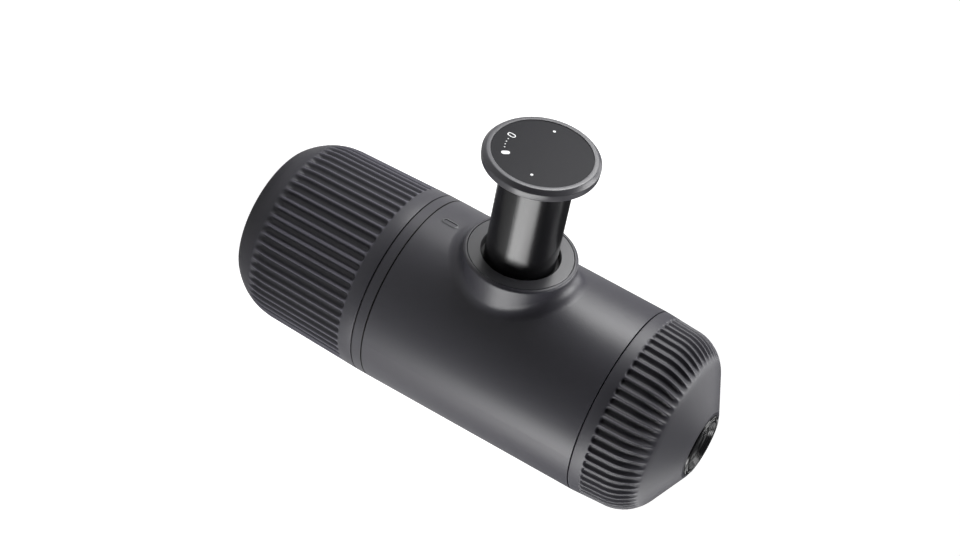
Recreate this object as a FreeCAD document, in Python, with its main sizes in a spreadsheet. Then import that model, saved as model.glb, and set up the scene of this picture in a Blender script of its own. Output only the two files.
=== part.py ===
import FreeCAD, Part
import math
import os
from types import SimpleNamespace

import Sketcher

# Hand-pumped espresso maker, standing on the flat base of its cup.
# Main axis: +Z, from the centre of the cup's base up to the nozzle.
# Piston axis: square to it, pointing out of the housing's boss along -Y.

# Driving dimensions, in millimetres, degrees or counts: name, number, meaning.
SIZES = (
    # along the main axis
    ("cup_height", 49.6, "cup base to the seam between cup and tank collar"),
    ("collar_height", 3.7, "tank collar, seam to seam"),
    ("body_length", 74.2, "main housing, seam to seam"),
    ("head_length", 27.9, "outlet head, seam to the plane of its tip"),
    ("piston_rise", 31.9, "top of the tank collar to the piston axis"),
    ("seam_gap", 0.3, "open line at each seam between outer shells"),
    # outside radii
    ("body_radius", 31.0, "cup rim, tank collar and lower end of the housing"),
    ("body_top_radius", 30.5, "upper end of the housing"),
    ("head_wall_radius", 29.85, "outlet head where its shoulder starts"),
    # cup
    ("cup_foot_radius", 30.18, "cup wall where the foot's bend starts"),
    ("cup_bend", 20.6, "large bend at the cup's foot"),
    ("cup_base_bend", 4.5, "small bend down to the flat base"),
    ("foot_turn", 45.5, "turn of the large bend, in degrees"),
    ("cup_wall", 2.8, "cup wall thickness"),
    # water tank
    ("tank_gap", 0.8, "free space between tank and cup walls"),
    ("tank_base_height", 8.0, "tank base above the cup's underside"),
    ("tank_bend", 12.0, "large bend at the tank's foot"),
    ("tank_base_bend", 4.0, "small bend at the tank's foot"),
    ("tank_wall", 1.8, "tank wall thickness"),
    ("neck_length", 6.2, "screwed neck above the tank collar"),
    ("tank_neck_wall", 2.02, "wall of the tank's neck"),
    ("neck_wall", 2.0, "wall of the outlet head's neck"),
    ("thread_gap", 0.3, "radial room between a neck and its socket"),
    ("gasket_thick", 1.5, "tank gasket"),
    # housing and inner frame
    ("wall_low", 2.8, "wall of the main housing at the tank's end"),
    ("wall_high", 2.3, "wall of the main housing at the outlet head's end"),
    ("ledge_width", 1.6, "how far the housing's two ledges stand in"),
    ("ledge_thick", 2.5, "housing ledge"),
    ("fit_gap", 0.05, "radial gap of pieces fitted by hand"),
    ("loose_gap", 0.1, "radial gap of pieces that drop in"),
    ("socket_wall", 1.05, "wall of the two sockets that the necks screw into"),
    ("socket_short", 0.6, "sockets' rims short of the outer seams"),
    ("roof_thick", 2.5, "roof of the tank socket"),
    ("group_depth", 19.5, "head seam down to the underside of the group head"),
    ("plate_thick", 4.0, "plate of the group head"),
    ("post_inset", 2.78, "inside of the tank's neck to the frame posts' circle"),
    ("post_turn", 20.0, "frame posts' angle from the X axis, in degrees"),
    ("post_radius", 2.4, "frame post"),
    ("screw_radius", 1.2, "shank of the frame screws"),
    ("screw_head_radius", 2.2, "head of the frame screws"),
    ("screw_head_thick", 1.3, "head of the frame screws"),
    ("screw_length", 11.0, "frame screw below its head"),
    ("screw_room", 0.2, "radial room round screws and their heads"),
    # group: screen, gasket, basket
    ("chamber_depth", 4.6, "water space behind the screen"),
    ("screen_lap", 1.2, "shelf that the screen's edge lies on"),
    ("screen_land", 0.8, "face between the screen's recess and the group gasket"),
    ("screen_thick", 1.0, "dispersion screen"),
    ("hub_radius", 5.0, "hub that carries the screen's screw"),
    ("seal_thick", 3.0, "group gasket"),
    ("seal_width", 3.0, "group gasket, inside to outside"),
    ("seal_room", 0.3, "radial room outside the group gasket"),
    ("neck_short", 1.1, "outlet head's neck, past the basket flange"),
    ("flange_thick", 1.2, "flange of the filter basket"),
    ("flange_lap", 2.4, "width of the basket flange"),
    ("basket_depth", 15.7, "filter basket below its flange"),
    ("basket_taper", 0.8, "how much the basket narrows to its base"),
    ("basket_wall", 0.6, "filter basket wall"),
    ("basket_room", 0.3, "room round the basket in the outlet head"),
    ("sieve_hole", 0.6, "radius of the sieve holes"),
    ("sieve_count", 8, "sieve holes in each ring"),
    ("sieve_inset", 4.2, "outer ring of sieve holes to the edge"),
    ("sieve_pitch", 6.6, "outer ring of sieve holes to the inner one"),
    # ribs of cup and outlet head
    ("rib_count", 60, "ribs round the cup and round the outlet head"),
    ("groove_turn", 4.4, "width of a groove between two ribs, in degrees"),
    ("groove_depth", 1.0, "depth of the grooves"),
    ("groove_slope", 1.2, "height of the sloped end of a groove"),
    ("cup_groove_turn", 1.4, "first groove of the cup from the X axis, in degrees"),
    ("cup_groove_low", 8.3, "cup base to the grooves"),
    ("cup_rim_land", 4.55, "grooves to the cup's rim"),
    ("head_groove_turn", 4.0, "first groove of the head from the X axis, in degrees"),
    ("head_rim_land", 3.6, "head seam to the grooves"),
    ("head_groove_bend", 56.0, "how far the grooves follow the shoulder, in degrees"),
    # outlet head and nozzle
    ("shoulder_bend", 13.0, "bend of the outlet head's shoulder"),
    ("shoulder_turn", 62.5, "turn of that bend, in degrees"),
    ("tip_radius", 11.2, "flat ring at the outlet head's tip"),
    ("aperture_radius", 9.9, "seat of the nozzle insert"),
    ("aperture_depth", 5.4, "seat of the nozzle insert"),
    ("nozzle_proud", 0.6, "nozzle insert past the tip"),
    ("nozzle_hole", 2.0, "radius of the spout hole"),
    ("under_basket", 1.0, "space between basket and funnel rim"),
    ("funnel_depth", 2.5, "funnel under the basket"),
    ("throat_radius", 2.5, "hole that the pressure valve closes"),
    ("throat_length", 1.5, "hole that the pressure valve closes"),
    ("valve_bore", 6.0, "radius of the pressure valve's chamber"),
    ("valve_radius", 4.2, "pressure valve"),
    ("valve_thick", 2.5, "pressure valve"),
    ("valve_stem", 1.5, "radius of the pressure valve's stem"),
    ("valve_stem_length", 2.0, "pressure valve's stem"),
    ("spring_seat", 1.5, "recess in the insert that holds the valve spring"),
    ("spring_seat_radius", 4.2, "recess in the insert that holds the valve spring"),
    ("lip_width", 2.0, "flat lip of the nozzle insert"),
    ("lip_chamfer", 0.3, "outer edge of that lip"),
    ("dish_step", 0.8, "width of the step inside the lip"),
    ("dish_step_deep", 1.2, "depth of that step"),
    ("dish_radius", 4.0, "rim of the dish's funnel"),
    ("dish_deep", 1.8, "lip to the rim of the dish's funnel"),
    ("dish_floor", 1.5, "floor of the dish above the spring's recess"),
    # boss and piston
    ("boss_proud", 4.715, "boss face beyond the housing wall behind it"),
    ("boss_radius", 17.5, "boss"),
    ("boss_rim", 1.1, "wall of the boss round the lock collar"),
    ("boss_foot", 4.4, "fillet between boss and housing"),
    ("boss_round", 0.8, "rounded edge of the boss"),
    ("collar_thick", 3.2, "lock collar plate"),
    ("collar_room", 1.0, "room round the sleeve in the lock collar"),
    ("collar_edge", 0.3, "small chamfers of the lock collar"),
    ("guide_flange", 2.0, "flange of the sleeve guide"),
    ("guide_wall", 1.3, "wall of the sleeve guide"),
    ("guide_length", 11.8, "sleeve guide, end to end"),
    ("guide_land", 4.5, "bearing face of the sleeve guide with its wiper"),
    ("guide_room", 0.7, "room round the locking lugs in the guide"),
    ("wiper_thick", 1.1, "wiper ring"),
    ("wiper_width", 1.6, "wiper ring"),
    ("run_gap", 0.05, "radial gap of running fits"),
    ("sleeve_radius", 11.0, "piston sleeve"),
    ("sleeve_wall", 1.2, "piston sleeve wall"),
    ("sleeve_top", 2.0, "end plate of the sleeve under the cap"),
    ("sleeve_held", 11.0, "boss face to the sleeve's inner end, pulled out"),
    ("lug_thick", 2.5, "locking lugs of the sleeve"),
    ("lug_proud", 1.0, "locking lugs beyond the sleeve"),
    ("lug_width", 5.8, "locking lug"),
    ("cap_clear", 1.1, "boss face to the cap, pushed in"),
    ("cap_thick", 3.4, "piston cap"),
    ("cap_radius", 17.5, "piston cap"),
    ("cap_round", 1.0, "rounded upper edge of the cap"),
    ("cap_under", 1.5, "width of the bevel under the cap's edge"),
    ("cap_bevel", 1.2, "height of that bevel"),
    ("cap_rim", 1.1, "flat rim round the cap's inlay"),
    ("inlay_deep", 0.9, "recess for the inlay"),
    ("inlay_thick", 0.7, "cap inlay"),
    ("inlay_gap", 0.1, "line round the inlay"),
    ("pivot_radius", 1.5, "shank of the cap screw"),
    ("pivot_head_radius", 3.0, "head of the cap screw"),
    ("pivot_head_thick", 1.2, "head of the cap screw"),
    ("pivot_length", 9.7, "cap screw below its head"),
    ("rod_radius", 3.0, "plunger rod"),
    ("rod_spigot", 2.0, "radius of the rod's end in the plunger head"),
    ("spigot_short", 0.5, "rod's end short of the plunger head's back"),
    # pump
    ("pump_room", 0.5, "room round the pump cylinder in the sleeve"),
    ("pump_wall", 1.3, "wall of the pump cylinder"),
    ("pump_clear", 1.5, "plunger head to the manifold's back wall, pushed in"),
    ("pump_tail", 4.0, "water ports to the cylinder's back end"),
    ("front_cap_thick", 3.0, "front cap of the pump"),
    ("front_cap_spigot", 1.2, "front cap inside the cylinder"),
    ("head_gap", 0.3, "plunger head to front cap, pulled out"),
    ("plunger_thick", 4.5, "plunger head"),
    ("plunger_room", 0.4, "plunger head to the cylinder wall"),
    ("ring_groove", 1.9, "width of the plunger head's groove"),
    ("ring_depth", 1.2, "depth of the plunger head's groove"),
    ("manifold_wall", 1.85, "manifold round the cylinder"),
    ("manifold_tail", 8.0, "water ports to the manifold's back"),
    ("back_wall", 2.0, "back wall of the manifold"),
    ("bell_wall", 1.3, "front bell of the manifold"),
    ("bell_room", 1.5, "bell depth behind the locked lugs"),
    ("bell_web", 2.0, "web between bell and manifold"),
    ("lock_ring_thick", 3.0, "lock ring"),
    ("lock_gap", 0.5, "lugs to lock ring, pushed in"),
    ("lug_room", 0.4, "room round the lugs in the lock ring"),
    ("lock_to_port", 8.0, "locked lugs to the water ports"),
    ("port_inset", 2.0, "wall of the screen's chamber to the water ports"),
    ("port_radius", 1.3, "water ports"),
    ("spigot_radius", 4.2, "port spigots of the manifold"),
    ("valve_pocket", 2.6, "radius of the check valves' pockets"),
    ("valve_pocket_deep", 4.0, "depth of the check valves' pockets"),
    ("check_flange", 0.8, "flange of a check valve"),
    ("check_length", 3.4, "check valve"),
    ("filter_radius", 4.0, "inlet filter"),
    ("filter_thick", 0.8, "inlet filter"),
    ("vent_stem", 1.0, "radius of the vent valve's stem"),
    # springs
    ("spring_wire", 1.0, "return spring's wire"),
    ("spring_radius", 6.2, "return spring, axis to wire"),
    ("spring_turns", 9, "return spring"),
    ("valve_wire", 0.7, "valve spring's wire"),
    ("valve_spring_radius", 2.9, "valve spring, axis to wire"),
    ("valve_turns", 4, "valve spring"),
)

VECTOR = FreeCAD.Vector


class Size:
    """A number of the model together with the expression that gives it."""

    def __init__(self, number, text):
        self.number = number
        self.text = text

    def joined(self, sign, other, number):
        return Size(number, "(%s %s %s)" % (self.text, sign, other.text))

    def __add__(self, other):
        other = as_size(other)
        return self.joined("+", other, self.number + other.number)

    def __sub__(self, other):
        other = as_size(other)
        return self.joined("-", other, self.number - other.number)

    def __mul__(self, other):
        other = as_size(other)
        return self.joined("*", other, self.number * other.number)

    def __truediv__(self, other):
        other = as_size(other)
        return self.joined("/", other, self.number / other.number)

    def __neg__(self):
        return as_size(0) - self


def as_size(value):
    """Plain numbers become sizes, so that both can be added."""
    return value if isinstance(value, Size) else Size(float(value), repr(float(value)))


def sine(turn):
    return Size(math.sin(math.radians(turn.number)), "sin(%s)" % turn.text)


def cosine(turn):
    return Size(math.cos(math.radians(turn.number)), "cos(%s)" % turn.text)


def root(area):
    return Size(math.sqrt(area.number), "sqrt(%s)" % area.text)


def smaller(one, other):
    return Size(min(one.number, other.number), "min(%s; %s)" % (one.text, other.text))


def make_sheet(doc):
    """Fills the spreadsheet and returns its cells as sizes, by name."""
    sheet = doc.addObject("Spreadsheet::Sheet", "Sizes")
    for row, (name, number, meaning) in enumerate(SIZES, start=1):
        sheet.set("A%d" % row, name)
        sheet.set("B%d" % row, str(number))
        sheet.setAlias("B%d" % row, name)
        sheet.set("C%d" % row, meaning)
    doc.recompute()
    cells = {name: Size(float(sheet.get(name)), "Sizes." + name) for name, _, _ in SIZES}
    return SimpleNamespace(**cells)


# Sketches: closed outlines whose corners and bends are bound to the sheet.

def origin_part(body, role):
    for feature in body.Origin.OriginFeatures:
        if feature.Role == role:
            return feature
    raise ValueError("no %s in %s" % (role, body.Label))


def sketch_on(body, name, role="XY_Plane", lift=None):
    """New sketch on one of the body's own planes, moved along its normal by lift."""
    sketch = body.newObject("Sketcher::SketchObject", name)
    sketch.AttachmentSupport = [(origin_part(body, role), "")]
    sketch.MapMode = "FlatFace"
    if lift is not None:
        sketch.AttachmentOffset = FreeCAD.Placement(VECTOR(0, 0, lift.number), FreeCAD.Rotation())
        sketch.setExpression("AttachmentOffset.Base.z", lift.text)
    return sketch


def bind(sketch, kind, *parts):
    """Adds a dimension to the sketch; the last part is its size."""
    size = as_size(parts[-1])
    index = sketch.addConstraint(Sketcher.Constraint(kind, *parts[:-1], size.number))
    sketch.setExpression("Constraints[%d]" % index, size.text)


def pin_point(sketch, edge, end, across, up):
    """Ties a point of an edge to its distances from the sketch's two axes."""
    for kind, size, axis in (("DistanceX", across, -2), ("DistanceY", up, -1)):
        if isinstance(size, Size):
            bind(sketch, kind, -1, 1, edge, end, size)
        else:
            sketch.addConstraint(Sketcher.Constraint("PointOnObject", edge, end, axis))


def add_edge(sketch, before, corner):
    """Adds the line or bend that ends at a corner; returns its ends in drawing order."""
    start = VECTOR(as_size(before[0]).number, as_size(before[1]).number, 0)
    stop = VECTOR(as_size(corner[0]).number, as_size(corner[1]).number, 0)
    if len(corner) == 2:
        return sketch.addGeometry(Part.LineSegment(start, stop)), 1, 2
    radius, across, up = (as_size(value) for value in corner[2:])
    centre = VECTOR(across.number, up.number, 0)
    left_turn = (start - centre).cross(stop - centre).z > 0
    first, last = (start, stop) if left_turn else (stop, start)
    low, high = (math.atan2((end - centre).y, (end - centre).x) for end in (first, last))
    if high < low:
        high += 2 * math.pi
    circle = Part.Circle(centre, VECTOR(0, 0, 1), radius.number)
    edge = sketch.addGeometry(Part.ArcOfCircle(circle, low, high))
    bind(sketch, "Radius", edge, radius)
    return (edge, 1, 2) if left_turn else (edge, 2, 1)


def draw_outline(sketch, corners):
    """Closed outline. A corner is (across, up), and (across, up, radius, centre across,
    centre up) where the edge that arrives there is a bend. A plain 0 lies on the axis."""
    edges = [add_edge(sketch, corners[index - 1], corner) for index, corner in enumerate(corners)]
    for index, (edge, _, stop) in enumerate(edges):
        after, start, _ = edges[(index + 1) % len(edges)]
        sketch.addConstraint(Sketcher.Constraint("Coincident", edge, stop, after, start))
        pin_point(sketch, edge, stop, *corners[index][:2])


def draw_circles(sketch, places, radius):
    for across, up in places:
        centre = VECTOR(as_size(across).number, as_size(up).number, 0)
        edge = sketch.addGeometry(Part.Circle(centre, VECTOR(0, 0, 1), radius.number))
        bind(sketch, "Radius", edge, radius)
        if isinstance(across, Size) or isinstance(up, Size):
            pin_point(sketch, edge, 3, across, up)
        else:
            sketch.addConstraint(Sketcher.Constraint("Coincident", edge, 3, -1, 1))


def draw_box(sketch, half_width, low, high):
    """Upright rectangle, centred across and running from low to high."""
    draw_outline(sketch, [(-half_width, low), (half_width, low), (half_width, high),
                          (-half_width, high)])


# Features of one body.

def new_body(doc, label, on_piston=False):
    """Empty body on the main axis, or on the piston axis with its own Z pointing outwards."""
    body = doc.addObject("PartDesign::Body", label)
    body.Label = label
    if on_piston:
        turned = FreeCAD.Rotation(VECTOR(1, 0, 0), 90)
        body.Placement = FreeCAD.Placement(VECTOR(0, 0, place.piston.number), turned)
        body.setExpression(".Placement.Base.z", place.piston.text)
    return body


def revolve(body, name, corners, kind="PartDesign::Revolution"):
    """Turns an outline of (radius, height) corners about the body's own Z axis."""
    sketch = sketch_on(body, name + "_outline", "XZ_Plane")
    draw_outline(sketch, corners)
    feature = body.newObject(kind, name)
    feature.Profile = sketch
    feature.ReferenceAxis = (sketch, ["V_Axis"])
    feature.Angle = 360
    return feature


def turned_piece(doc, label, corners, on_piston=False):
    body = new_body(doc, label, on_piston)
    revolve(body, label + "_turned", corners)
    return body


def volume_now(body):
    body.Document.recompute()
    return body.Shape.Volume


def extrude(body, name, draw, length, role="XY_Plane", lift=None, cut=False, backwards=False):
    """Pads or pockets a sketch along its normal, or against it when backwards."""
    before = volume_now(body)
    sketch = sketch_on(body, name + "_outline", role, lift)
    draw(sketch)
    feature = body.newObject("PartDesign::Pocket" if cut else "PartDesign::Pad", name)
    feature.Profile = sketch
    feature.Length = length.number
    feature.setExpression("Length", length.text)
    feature.Reversed = backwards != cut
    after = volume_now(body)
    if (after >= before) == cut:
        raise ValueError("%s of %s does nothing" % (name, body.Label))
    return feature


def drill(body, name, places, radius, start, depth, role="XY_Plane", backwards=False):
    """Round holes that start at a height and run along the plane's normal."""
    return extrude(body, name, lambda sketch: draw_circles(sketch, places, radius), depth,
                   role, start, True, backwards)


def ring_pattern(body, name, feature, count):
    pattern = body.newObject("PartDesign::PolarPattern", name)
    pattern.Originals = [feature]
    pattern.Axis = (origin_part(body, "Z_Axis"), [""])
    pattern.Angle = 360
    pattern.Occurrences = int(count.number)
    pattern.setExpression("Occurrences", count.text)
    body.Tip = pattern
    return pattern


def tube(inner, outer, low, high):
    return [(inner, low), (outer, low), (outer, high), (inner, high)]


doc = FreeCAD.newDocument("espresso_maker")
size = make_sheet(doc)


def main_places():
    """Heights on the main axis and distances on the piston axis, from the sheet."""
    at = SimpleNamespace()
    at.bore_low = size.body_radius - size.wall_low
    at.bore_high = size.body_top_radius - size.wall_high
    socket = size.fit_gap + size.socket_wall + size.thread_gap
    at.tank_neck = at.bore_low - socket
    at.tank_neck_inside = at.tank_neck - size.tank_neck_wall
    at.head_neck = at.bore_high - socket
    at.head_neck_inside = at.head_neck - size.neck_wall
    at.post_circle = at.tank_neck_inside - size.post_inset
    at.gasket = at.head_neck_inside - size.seal_room
    at.screen = at.gasket - size.seal_width - size.screen_land
    at.chamber = at.screen - size.screen_lap
    at.port_offset = at.chamber - size.port_inset
    at.collar_low = size.cup_height + size.seam_gap / 2
    at.collar_seam = size.cup_height + size.collar_height
    at.head_seam = at.collar_seam + size.body_length
    at.tip = at.head_seam + size.head_length
    at.piston = at.collar_seam + size.piston_rise
    at.neck_high = at.collar_seam + size.neck_length
    at.roof_low = at.neck_high + size.gasket_thick
    at.roof_high = at.roof_low + size.roof_thick
    at.plate_low = at.head_seam - size.group_depth
    at.plate_high = at.plate_low + size.plate_thick
    at.screen_low = at.plate_high + size.chamber_depth
    at.screen_high = at.screen_low + size.screen_thick
    at.flange_low = at.screen_high + size.seal_thick
    at.flange_high = at.flange_low + size.flange_thick
    at.basket_high = at.flange_high + size.basket_depth
    at.funnel_low = at.basket_high + size.under_basket
    at.funnel_high = at.funnel_low + size.funnel_depth
    at.valve_seat = at.funnel_high + size.throat_length
    at.insert_low = at.tip - size.aperture_depth
    taper = (size.body_radius - size.body_top_radius) * size.piston_rise / size.body_length
    at.boss_reach = size.body_radius - taper + size.boss_proud
    at.guide_flange = at.boss_reach - size.collar_thick
    at.guide_low = at.guide_flange - size.guide_length
    at.sleeve_end = at.boss_reach - size.sleeve_held
    at.lugs_locked = size.lock_to_port - at.port_offset
    at.stroke = at.sleeve_end - at.lugs_locked
    at.cap_low = at.boss_reach + size.cap_clear + at.stroke
    at.cap_reach = at.cap_low + size.cap_thick
    at.cap_floor = at.cap_reach - size.inlay_deep
    at.screw_seat = at.cap_floor - size.pivot_head_thick - size.screw_room
    at.sleeve_roof = at.cap_low - size.sleeve_top
    at.ring_low = at.lugs_locked + size.lug_thick + size.lock_gap
    at.lug_reach = size.sleeve_radius + size.lug_proud
    at.guide_bore = at.lug_reach + size.guide_room
    at.guide_radius = at.guide_bore + size.guide_wall
    at.bell = at.lug_reach + size.lug_room
    at.pump_outside = size.sleeve_radius - size.sleeve_wall - size.pump_room
    at.pump_bore = at.pump_outside - size.pump_wall
    at.manifold_back = at.port_offset + size.manifold_tail
    at.pump_end = at.manifold_back - size.back_wall
    at.plunger_low = at.stroke + size.pump_clear - at.pump_end
    at.plunger_high = at.plunger_low + size.plunger_thick
    at.pump_front = at.plunger_high + size.head_gap + size.front_cap_spigot
    at.front_cap = at.pump_front + size.front_cap_thick
    return at


place = main_places()


# Ribs: one groove, a few degrees wide about the main axis and repeated all round.

def turned_frame(body, name, turn):
    """Plane through the main axis, turned by an angle from the X axis."""
    plane = body.newObject("PartDesign::Plane", name)
    plane.AttachmentSupport = [(origin_part(body, "XZ_Plane"), "")]
    plane.MapMode = "FlatFace"
    plane.AttachmentOffset = FreeCAD.Placement(
        VECTOR(0, 0, 0), FreeCAD.Rotation(VECTOR(0, 1, 0), turn.number))
    plane.setExpression("AttachmentOffset.Rotation.Angle", turn.text)
    return plane


def wall_radius(start, end, height):
    """Radius that a straight sloping wall has at a height."""
    return start[0] + (end[0] - start[0]) * (height - start[1]) / (end[1] - start[1])


def cut_grooves(body, name, turn, corners):
    plane = turned_frame(body, name + "_plane", turn)
    sketch = body.newObject("Sketcher::SketchObject", name + "_outline")
    sketch.AttachmentSupport = [(plane, "")]
    sketch.MapMode = "FlatFace"
    draw_outline(sketch, corners)
    before = volume_now(body)
    groove = body.newObject("PartDesign::Groove", name)
    groove.Profile = sketch
    groove.ReferenceAxis = (sketch, ["V_Axis"])
    groove.Midplane = True
    groove.Angle = size.groove_turn.number
    groove.setExpression("Angle", size.groove_turn.text)
    if volume_now(body) >= before:
        raise ValueError("%s of %s does nothing" % (name, body.Label))
    ring_pattern(body, name + "_ring", groove, size.rib_count)


# Cup and tank: round bowls whose foot is a large bend and then a small one.

def bowl_foot(wall_radius, bend, base_bend, base, inset):
    """Corners from the flat base out to the wall, set in from the outside by inset."""
    turn = size.foot_turn
    bend_across = wall_radius - bend
    base_across = bend_across + (bend - base_bend) * cosine(turn)
    base_up = base + base_bend
    bend_up = base_up + (bend - base_bend) * sine(turn)
    radius = bend - inset
    meeting = (bend_across + radius * cosine(turn), bend_up - radius * sine(turn))
    return [
        (base_across, base + inset),
        (*meeting, base_bend - inset, base_across, base_up),
        (bend_across + radius, bend_up, radius, bend_across, bend_up),
    ]


def reversed_foot(foot):
    """The same corners drawn from the wall down to the flat base."""
    flat, meeting, wall = foot
    return [wall[:2], (*meeting[:2], *wall[2:]), (*flat, *meeting[2:])]


def make_cup():
    foot = (size.cup_foot_radius, size.cup_bend, size.cup_base_bend, as_size(0))
    rim = size.cup_height - size.seam_gap / 2
    inside = bowl_foot(*foot, size.cup_wall)
    outside = bowl_foot(*foot, as_size(0))
    outside[0] = (outside[0][0], 0)
    body = turned_piece(doc, "cup", [
        (0, 0),
        *outside,
        (size.body_radius, rim),
        (size.body_radius - size.cup_wall, rim),
        *reversed_foot(inside),
        (0, size.cup_wall),
    ])
    wall = bowl_foot(*foot, size.groove_depth)[-1]
    radius, across, up = wall[2:]
    drop = up - size.cup_groove_low
    high = rim - size.cup_rim_land
    floor = high - size.groove_slope
    outer = (size.cup_foot_radius, up), (size.body_radius, rim)
    cut_grooves(body, "cup_groove", size.cup_groove_turn, [
        wall,
        (wall_radius(*outer, floor) - size.groove_depth, floor),
        (size.body_radius + size.groove_depth, high),
        (size.cup_foot_radius + size.groove_depth, up),
        (size.cup_foot_radius + size.groove_depth, size.cup_groove_low),
        (across + root(radius * radius - drop * drop), size.cup_groove_low),
    ])
    return body


def make_water_tank():
    outside = size.cup_foot_radius - size.cup_wall - size.tank_gap
    foot = (outside, size.tank_bend, size.tank_base_bend, size.tank_base_height)
    top = size.body_radius - size.cup_wall - size.tank_gap
    collar_high = place.collar_seam - size.seam_gap / 2
    return turned_piece(doc, "water_tank", [
        (0, size.tank_base_height),
        *bowl_foot(*foot, as_size(0)),
        (top, place.collar_low),
        (size.body_radius, place.collar_low),
        (size.body_radius, collar_high),
        (place.tank_neck, collar_high),
        (place.tank_neck, place.neck_high),
        (place.tank_neck_inside, place.neck_high),
        *reversed_foot(bowl_foot(*foot, size.tank_wall)),
        (0, size.tank_base_height + size.tank_wall),
    ])


def make_tank_gasket():
    return turned_piece(doc, "tank_gasket", tube(
        place.tank_neck_inside + size.run_gap, place.tank_neck - size.run_gap, place.neck_high,
        place.roof_low))


# Main housing: tapered tube with two inner ledges and the piston's boss.

def foot_edges(shape):
    """Edges where the boss meets the tube: on the boss radius and short of its face."""
    names = []
    for number, edge in enumerate(shape.Edges, start=1):
        low, high = edge.ParameterRange
        points = [edge.valueAt(low + (high - low) * share / 4) for share in range(5)]
        radii = [math.hypot(point.x, point.z - place.piston.number) for point in points]
        on_boss = all(abs(radius - size.boss_radius.number) < 0.01 for radius in radii)
        short = all(-place.boss_reach.number + 0.5 < point.y < 0 for point in points)
        if on_boss and short and edge.Length > size.boss_radius.number:
            names.append("Edge%d" % number)
    return names


def face_edges(shape):
    """The boss's outer edge, round its face."""
    names = []
    for number, edge in enumerate(shape.Edges, start=1):
        if isinstance(edge.Curve, Part.Circle):
            round_enough = abs(edge.Curve.Radius - size.boss_radius.number) < 0.01
            if round_enough and abs(edge.Curve.Center.y + place.boss_reach.number) < 0.01:
                names.append("Edge%d" % number)
    return names


def fillet(body, name, feature, edges, radius):
    rounding = body.newObject("PartDesign::Fillet", name)
    rounding.Base = (feature, edges)
    rounding.Radius = radius.number
    rounding.setExpression("Radius", radius.text)
    doc.recompute()
    return rounding


def make_main_housing():
    body = new_body(doc, "main_housing")
    low = place.collar_seam + size.seam_gap / 2
    high = place.head_seam - size.seam_gap / 2
    revolve(body, "housing_tube", [
        (0, low), (size.body_radius, low), (size.body_top_radius, high), (0, high)])
    centre = [(0, place.piston)]
    boss = extrude(body, "boss", lambda sketch: draw_circles(sketch, centre, size.boss_radius),
                   place.boss_reach, "XZ_Plane")
    step = smaller(place.boss_reach - size.body_radius, place.boss_reach - size.body_top_radius)
    foot_radius = smaller(size.boss_foot, step - size.loose_gap)
    foot = fillet(body, "boss_foot", boss, foot_edges(boss.Shape), foot_radius)
    fillet(body, "boss_round", foot, face_edges(foot.Shape), size.boss_round)
    revolve(body, "housing_bore", [
        (0, low),
        (place.bore_low, low),
        (place.bore_low, place.roof_high),
        (place.bore_low - size.ledge_width, place.roof_high),
        (place.bore_low - size.ledge_width, place.roof_high + size.ledge_thick),
        (place.bore_low, place.roof_high + size.ledge_thick),
        (place.bore_high, place.plate_low - size.ledge_thick),
        (place.bore_high - size.ledge_width, place.plate_low - size.ledge_thick),
        (place.bore_high - size.ledge_width, place.plate_low),
        (place.bore_high, place.plate_low),
        (place.bore_high, high),
        (0, high),
    ], "PartDesign::Groove")
    drill(body, "guide_hole", centre, place.guide_radius + size.fit_gap, None, place.boss_reach,
          "XZ_Plane")
    seat = size.collar_thick + size.guide_flange
    drill(body, "collar_seat", centre, size.boss_radius - size.boss_rim, place.boss_reach - seat,
          seat, "XZ_Plane")
    return body


# Inner frame: tank socket below, group head above, drawn together by four screws.

def post_places():
    across = place.post_circle * cosine(size.post_turn)
    along = place.post_circle * sine(size.post_turn)
    return [(across, along), (-across, along), (across, -along), (-across, -along)]


def make_tank_socket():
    outside = place.bore_low - size.fit_gap
    inside = outside - size.socket_wall
    skirt_low = place.collar_seam + size.socket_short
    body = turned_piece(doc, "tank_socket", [
        (0, place.roof_low),
        (inside, place.roof_low),
        (inside, skirt_low),
        (outside, skirt_low),
        (outside, place.roof_high),
        (0, place.roof_high),
    ])
    drill(body, "inlet_port", [(0, place.port_offset)], size.port_radius, place.roof_low,
          size.roof_thick)
    drill(body, "vent_hole", [(0, -place.port_offset)], size.vent_stem + size.fit_gap,
          place.roof_low, size.roof_thick)
    drill(body, "screw_holes", post_places(), size.screw_radius + size.screw_room,
          place.roof_low, size.roof_thick)
    drill(body, "screw_seats", post_places(), size.screw_head_radius + size.screw_room,
          place.roof_low, size.screw_head_thick)
    return body


def make_group_head():
    body = new_body(doc, "group_head")
    outside = place.bore_high - size.fit_gap
    socket = outside - size.socket_wall
    rim = place.head_seam - size.socket_short
    revolve(body, "group_turned", [
        (0, place.plate_low),
        (outside, place.plate_low),
        (outside, rim),
        (socket, rim),
        (socket, place.screen_high),
        (place.screen, place.screen_high),
        (place.screen, place.screen_low),
        (place.chamber, place.screen_low),
        (place.chamber, place.plate_high),
        (size.hub_radius, place.plate_high),
        (size.hub_radius, place.screen_low),
        (0, place.screen_low),
    ])
    post_length = place.plate_low - place.roof_high
    extrude(body, "posts",
            lambda sketch: draw_circles(sketch, post_places(), size.post_radius),
            post_length, lift=place.roof_high)
    drill(body, "post_bores", post_places(), size.screw_radius + size.fit_gap,
          place.roof_high, size.screw_length)
    drill(body, "outlet_port", [(0, place.port_offset)], size.port_radius, place.plate_low,
          size.plate_thick)
    drill(body, "hub_bore", [(0, 0)], size.pivot_radius + size.fit_gap,
          place.plate_high, size.chamber_depth)
    return body


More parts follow.
